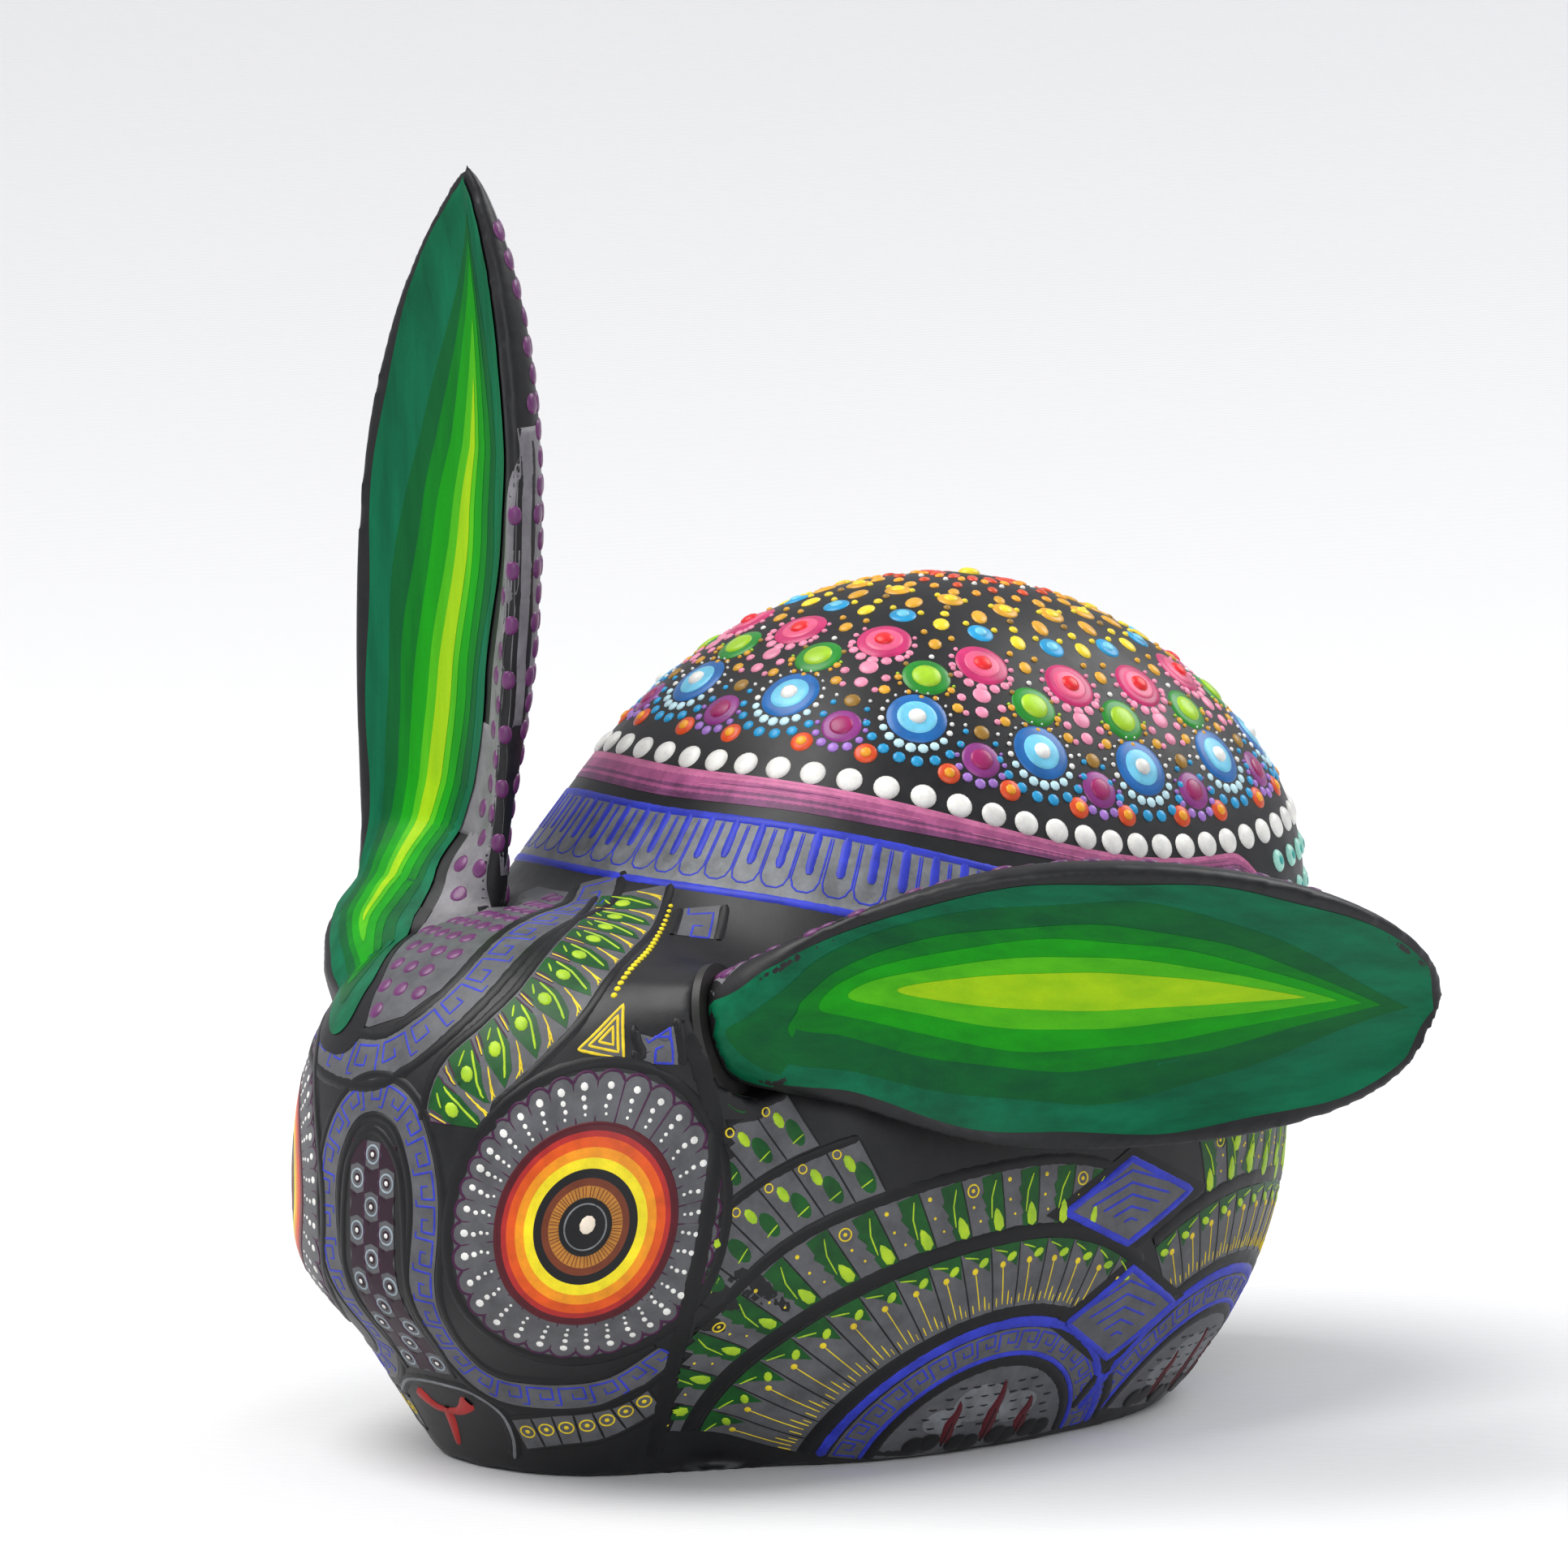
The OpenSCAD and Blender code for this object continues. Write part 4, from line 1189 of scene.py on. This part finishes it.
# ------------------------------------------------------------------ the ears
class Ear:
    """Charts an ear: t from foot (0) to tip (1), x across (-1 to 1), phi round it from its right edge."""

    def __init__(self, node, name, face, flare=()):
        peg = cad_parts[node + "_peg"].data
        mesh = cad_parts[node].data
        pts = np.array([tuple(v.co / MM) for v in mesh.vertices])
        centre = (pts.min(axis=0) + pts.max(axis=0)) / 2
        self.axis = Vector(np.linalg.svd(pts - pts.mean(axis=0), full_matrices=False)[2][0])
        if self.axis.dot(Vector(centre) - Vector((0, -40, 30))) < 0:
            self.axis.negate()
        self.face = Vector(face)
        self.face = (self.face - self.axis * self.face.dot(self.axis)).normalized()
        self.side = self.axis.cross(self.face)
        along = (pts - centre) @ np.array(self.axis)
        self.low = float(along.min())
        self.length = float(along.max()) - self.low
        self.centre = Vector(centre)
        self.flare = flare
        foot = self.flared(mesh, peg, flare) if flare else None
        carved = sanded_copy(node, name, 0.5, 8, body_black, "painted_ear", foot)
        self.surface = Surface(carved)
        self.measure()

    def flared(self, mesh, peg, flare):
        """The foot of the ear spread over the head: rings from its own section down into the head."""
        shell = surface_tree(mesh)
        pins = np.array([tuple(v.co / MM) for v in peg.vertices])
        seat = Vector((pins.min(axis=0) + pins.max(axis=0)) / 2)
        way_up = Vector(np.linalg.svd(pins - pins.mean(axis=0), full_matrices=False)[2][0])
        if way_up.dot(self.centre - seat) < 0:
            way_up.negate()
        front = (self.face - way_up * self.face.dot(way_up)).normalized()
        right = way_up.cross(front)
        hub = seat + way_up * 5.5
        n = 28
        ring = []
        for k in range(n):
            a = 2 * math.pi * k / n
            way = right * math.cos(a) + front * math.sin(a)
            hit = shell.ray_cast(hub + way * 2.5, way)[0] or hub + way * 5
            ring.append(hit - hub)
        pts = [hub + p * 0.9 + way_up * 2 for p in ring]
        for drop, shift, wide, deep in flare:
            base = seat - way_up * drop + right * shift[0] + front * shift[1]
            for p in ring:
                pts.append(base + right * p.dot(right) * wide + front * p.dot(front) * deep)
        rows = len(flare) + 1
        faces = [(r * n + k, r * n + (k + 1) % n, (r + 1) * n + (k + 1) % n, (r + 1) * n + k)
                 for r in range(rows - 1) for k in range(n)]
        faces += [tuple(range(n)), tuple(range((rows - 1) * n, rows * n))]
        return pts, faces

    def measure(self):
        pts = np.array([tuple(p) for p in self.surface.points]) - np.array(self.centre)
        along, across, deep = (pts @ np.array(v) for v in (self.axis, self.side, self.face))
        self.first, self.slices = -0.08, 64
        table = []
        for k in range(self.slices + 1):
            h = self.low + self.length * (self.first + (1 - self.first) * k / self.slices)
            gap = np.abs(along - h)
            near = gap < max(1.1, gap.min() + 0.6)
            table.append((across[near].min(), across[near].max(), deep[near].mean()))
        self.table = np.array(table)
        for col in range(3):
            for _ in range(4):
                self.table[1:-1, col] = np.convolve(self.table[:, col], (0.25, 0.5, 0.25), mode="valid")

    def section(self, t):
        x = min(max((t - self.first) / (1 - self.first), 0), 1) * self.slices
        i = min(int(x), self.slices - 1)
        return self.table[i] * (1 - (x - i)) + self.table[i + 1] * (x - i)

    def half_width(self, t):
        left, right, _ = self.section(t)
        return (right - left) / 2

    def spine(self, t, x=0.0):
        left, right, deep = self.section(t)
        across = (left + right) / 2 + x * (right - left) / 2
        return self.centre + self.axis * (self.low + t * self.length) + self.side * across + self.face * deep

    def at(self, t, x):
        """The face of the ear, or the brow of the head where that lies in front of it."""
        start = self.spine(t, x) + self.face * 25
        if self.flare and t < 0.12:
            return self.outermost(start, -self.face)[:2]
        return self.surface.cast(start, -self.face)

    def outermost(self, start, way):
        """The first of ear and head along a ray."""
        own = self.surface.cast(start, way)
        head = skin.tree.ray_cast(start, way)
        if head[0] and (head[0] - start).length < (own[0] - start).length:
            return head[0], head[1], skin
        return own[0], own[1], self.surface

    def place(self, p):
        """The chart position (t, x) of a point."""
        t = ((p - self.centre).dot(self.axis) - self.low) / self.length
        return t, (p - self.spine(t)).dot(self.side) / max(self.half_width(t), 0.4)

    def around(self, t, phi):
        a = math.radians(phi)
        return self.surface.cast(self.spine(t), self.side * math.cos(a) - self.face * math.sin(a))


def foot_dots(ear, edges, rim):
    """Plum dots on brow and ear foot together, where the leaf does not lie."""
    mid = (20, 40)
    ground_edge = [(mid[0] + 0.9 * (az - mid[0]), mid[1] + 0.93 * (el - mid[1])) for az, el in FOOT_GROUND]
    for i in range(-4, 14):
        for j in range(14):
            az, el = -5 + (i + 0.5 * (j % 2)) * 4.5, 25 + j * 3.6
            place, normal = star(-az, el)
            if not inside((az, el), ground_edge):
                continue
            p, n, ground = ear.outermost(place + normal * 12, -normal)
            t, x = ear.place(p)
            lo, hi = edges(max(t, -0.06))
            gap = (rim + 0.9) / max(ear.half_width(t), 0.4)
            if ground is skin and not lo - gap < x < hi + gap:
                dab("ear_purple", skin, p, n, 0.95, 0.24)


def paint_ear(ear, node, bands, left, right, aim, blunt_foot, lift):
    """Nested leaf bands on the face between two edges, then the dotted grey back.

    left, right and aim give the leaf's edges and the line its inner bands lean to, along the ear.
    """
    rim = 1.7

    def edges(t):
        half = max(ear.half_width(t), 0.4)
        lo = max(-1 + rim / half, left(t))
        hi = right(t) if t < 0.1 else min(1 - rim / half, right(t))
        return (lo, hi) if hi > lo else ((lo + hi) / 2, (lo + hi) / 2)

    def rim_sheet(i, j):
        t = bands[0][2] - 0.02 + 0.16 * i
        lo, hi = edges(t)
        half = (hi - lo) / 2 * (1 - max(0, 1 - i / 0.35) ** 2) ** 0.5 + 1.6 / max(ear.half_width(t), 0.4)
        return ear.at(t, (lo + hi) / 2 + (2 * j - 1) * half)

    if lift:
        sheet("black", rim_sheet, 30, 16, lift - 0.05)

    for k, (name, part, start, end) in enumerate(bands):
        def leaf(i, j):
            u = (1 - math.cos(math.pi * i)) / 2
            t = start + (end - start) * u
            lo, hi = edges(t)
            middle = lo + (hi - lo) * (0.5 + (aim(t) - 0.5) * (1 - part))
            foot, tip = 0.08 + blunt_foot * k, 0.03 + 0.42 * min(k, 1) + 0.06 * k
            shape = (1 - max(0, 1 - u / foot) ** 2) ** 0.5 * (1 - max(0, 1 - (1 - u) / tip) ** 1.7) ** 0.85
            half = (hi - lo) / 2 * part * shape * (1 + 0.02 * math.sin(23 * u + 2 * k))
            return ear.at(t, middle + (2 * j - 1) * half)
        sheet(name, leaf, 110, 14, lift + 0.04 + 0.03 * k)

    first = ear.first * 0.8
    sheet("ear_grey", lambda i, j: ear.around(first + (0.985 - first) * i, 6 + 168 * j), 100, 44, 0.02)

    def strip(t):
        """Where the dotted grey starts on the face."""
        return min(1.0, edges(t)[1] + (1.6 if right(t) < 0.9 else 9) / max(ear.half_width(t), 0.4))

    def edge_sheet(i, j):
        """Carries the grey round the right edge of the ear."""
        t = first + 0.95 * i
        face, back = ear.at(t, 0.99)[0], ear.around(t, 8)[0]
        return ear.surface.near(face + (back - face) * j)

    def strip_sheet(i, j):
        t = first + 0.75 * i
        return ear.at(t, strip(t) + (1.0 - strip(t)) * j * 0.998)

    if lift:
        sheet("ear_grey", edge_sheet, 100, 6, 0.03)
        sheet("ear_grey", strip_sheet, 70, 8, 0.03)
    paint_drops(node, [("ear_purple", 1.0, 0.24, 0.02)], ear.surface)
    pitch = 3.1
    for row in range(22):
        t = first + 0.025 + row * pitch * 0.87 / ear.length
        half = ear.half_width(t)
        for col in range(9):
            x = 0.98 - (col + 0.5 * (row % 2)) * pitch / half
            if x > strip(t) + 0.9 / half and right(t) < 0.9:
                p, n, ground = ear.outermost(ear.spine(t, x) + ear.face * 25, -ear.face)
                if ground is ear.surface:
                    dab("ear_purple", ground, p, n, 0.98, 0.24)
        if t < 0.12:
            for phi in range(14 + 9 * (row % 2), 176, 18):
                p, n = ear.around(t, phi)
                dab("ear_purple", ear.surface, p, n, 0.98, 0.24)
    if lift:
        foot_dots(ear, edges, rim)


# ------------------------------------------------------------------ gather everything
def gather():
    owners = {"crimson": ["pink_drops"], "disc_green": ["green_drops"], "disc_blue": ["blue_drops"],
              "violet": ["violet_drops"], "dot_blue": ["small_blue_drops"], "gold": ["gold_drops"],
              "drop_red": ["orange_drops"], "bead_white": ["border_beads"], "mint": ["turquoise_beads"],
              "petal_red": ["flower_drop"], "ear_purple": ["upright_ear_dots", "folded_ear_dots"]}
    palette = {name: (*tones, slot) for slot, paints in COLOURS.items() for name, tones in paints.items()}
    streaks = {}
    for ear, along in (("leaf_", (1, 1, 0.1)), ("laid_", (1, 0.1, 1))):     # brush marks run along each ear
        for name, tones in LEAF_COLOURS.items():
            palette[ear + name] = (*tones, "painted_ear")
            streaks[ear + name] = along
    for colour, pot in Paint.pots.items():
        main, other, slot = palette[colour]
        raised = slot not in ("painted_body", "painted_ear")
        material = acrylic("paint_" + colour, main, other, 0.34 if raised else 0.42,
                           streaks.get(colour, (1, 1, 1)), coat=0.3 if raised else 0.02,
                           shine=0.1 if colour in streaks else 0.24)
        mesh = bpy.data.meshes.new("paint_" + colour)
        mesh.from_pydata([p * MM for p in pot.points], [], pot.faces)
        mesh.validate()
        add_piece("paint_" + colour, mesh, material, slot, owners.get(colour, ()))


add_camera()
add_studio()
add_floor()
paint_dome()
paint_sash()
paint_collar()
paint_nose()
paint_mouth()
for hand in SIDES:
    paint_eye(hand)
    paint_cheek(hand)
    if hand > 0:
        paint_forehead()
    else:
        paint_ear_foot()
    paint_fan(hand, True)
    paint_fan(hand, False)
    paint_lozenges(hand)
    paint_upper_flank(hand)
paint_tail()
paint_ear(Ear("upright_ear", "ear_upright", (-0.05, -1, 0.05), UPRIGHT_FLARE), "upright_ear_dots",
          UPRIGHT_BANDS,
          left=lambda t: blend([(-0.06, -0.1), (0.0, -0.4), (0.06, -0.8), (0.13, -0.95), (1, -0.95)], t),
          right=lambda t: blend([(-0.06, 0.95), (0.0, 0.8), (0.07, 0.42), (0.14, 0.25), (0.35, 0.46),
                                 (0.55, 0.72), (0.75, 1.0), (1, 1.0)], t),
          aim=lambda t: blend([(0, 0.5), (0.5, 0.58), (1, 0.6)], t), blunt_foot=0.05, lift=0.16)
paint_ear(Ear("folded_ear", "ear_folded", (0.93, -0.26, -0.24)), "folded_ear_dots", FOLDED_BANDS,
          left=lambda t: -0.97, right=lambda t: 1.0, aim=lambda t: 0.47, blunt_foot=0.1, lift=0.0)
gather()

for node, material in (("upright_ear_peg", bare_wood("peg_wood", (0.52, 0.36, 0.20))),
                       ("upright_ear_bed", acrylic("filler_paste", (0.020, 0.019, 0.018), rough=0.5))):
    for name in (node, node.replace("upright", "folded")):
        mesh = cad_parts[name].data
        mesh.materials.clear()
        mesh.materials.append(material)
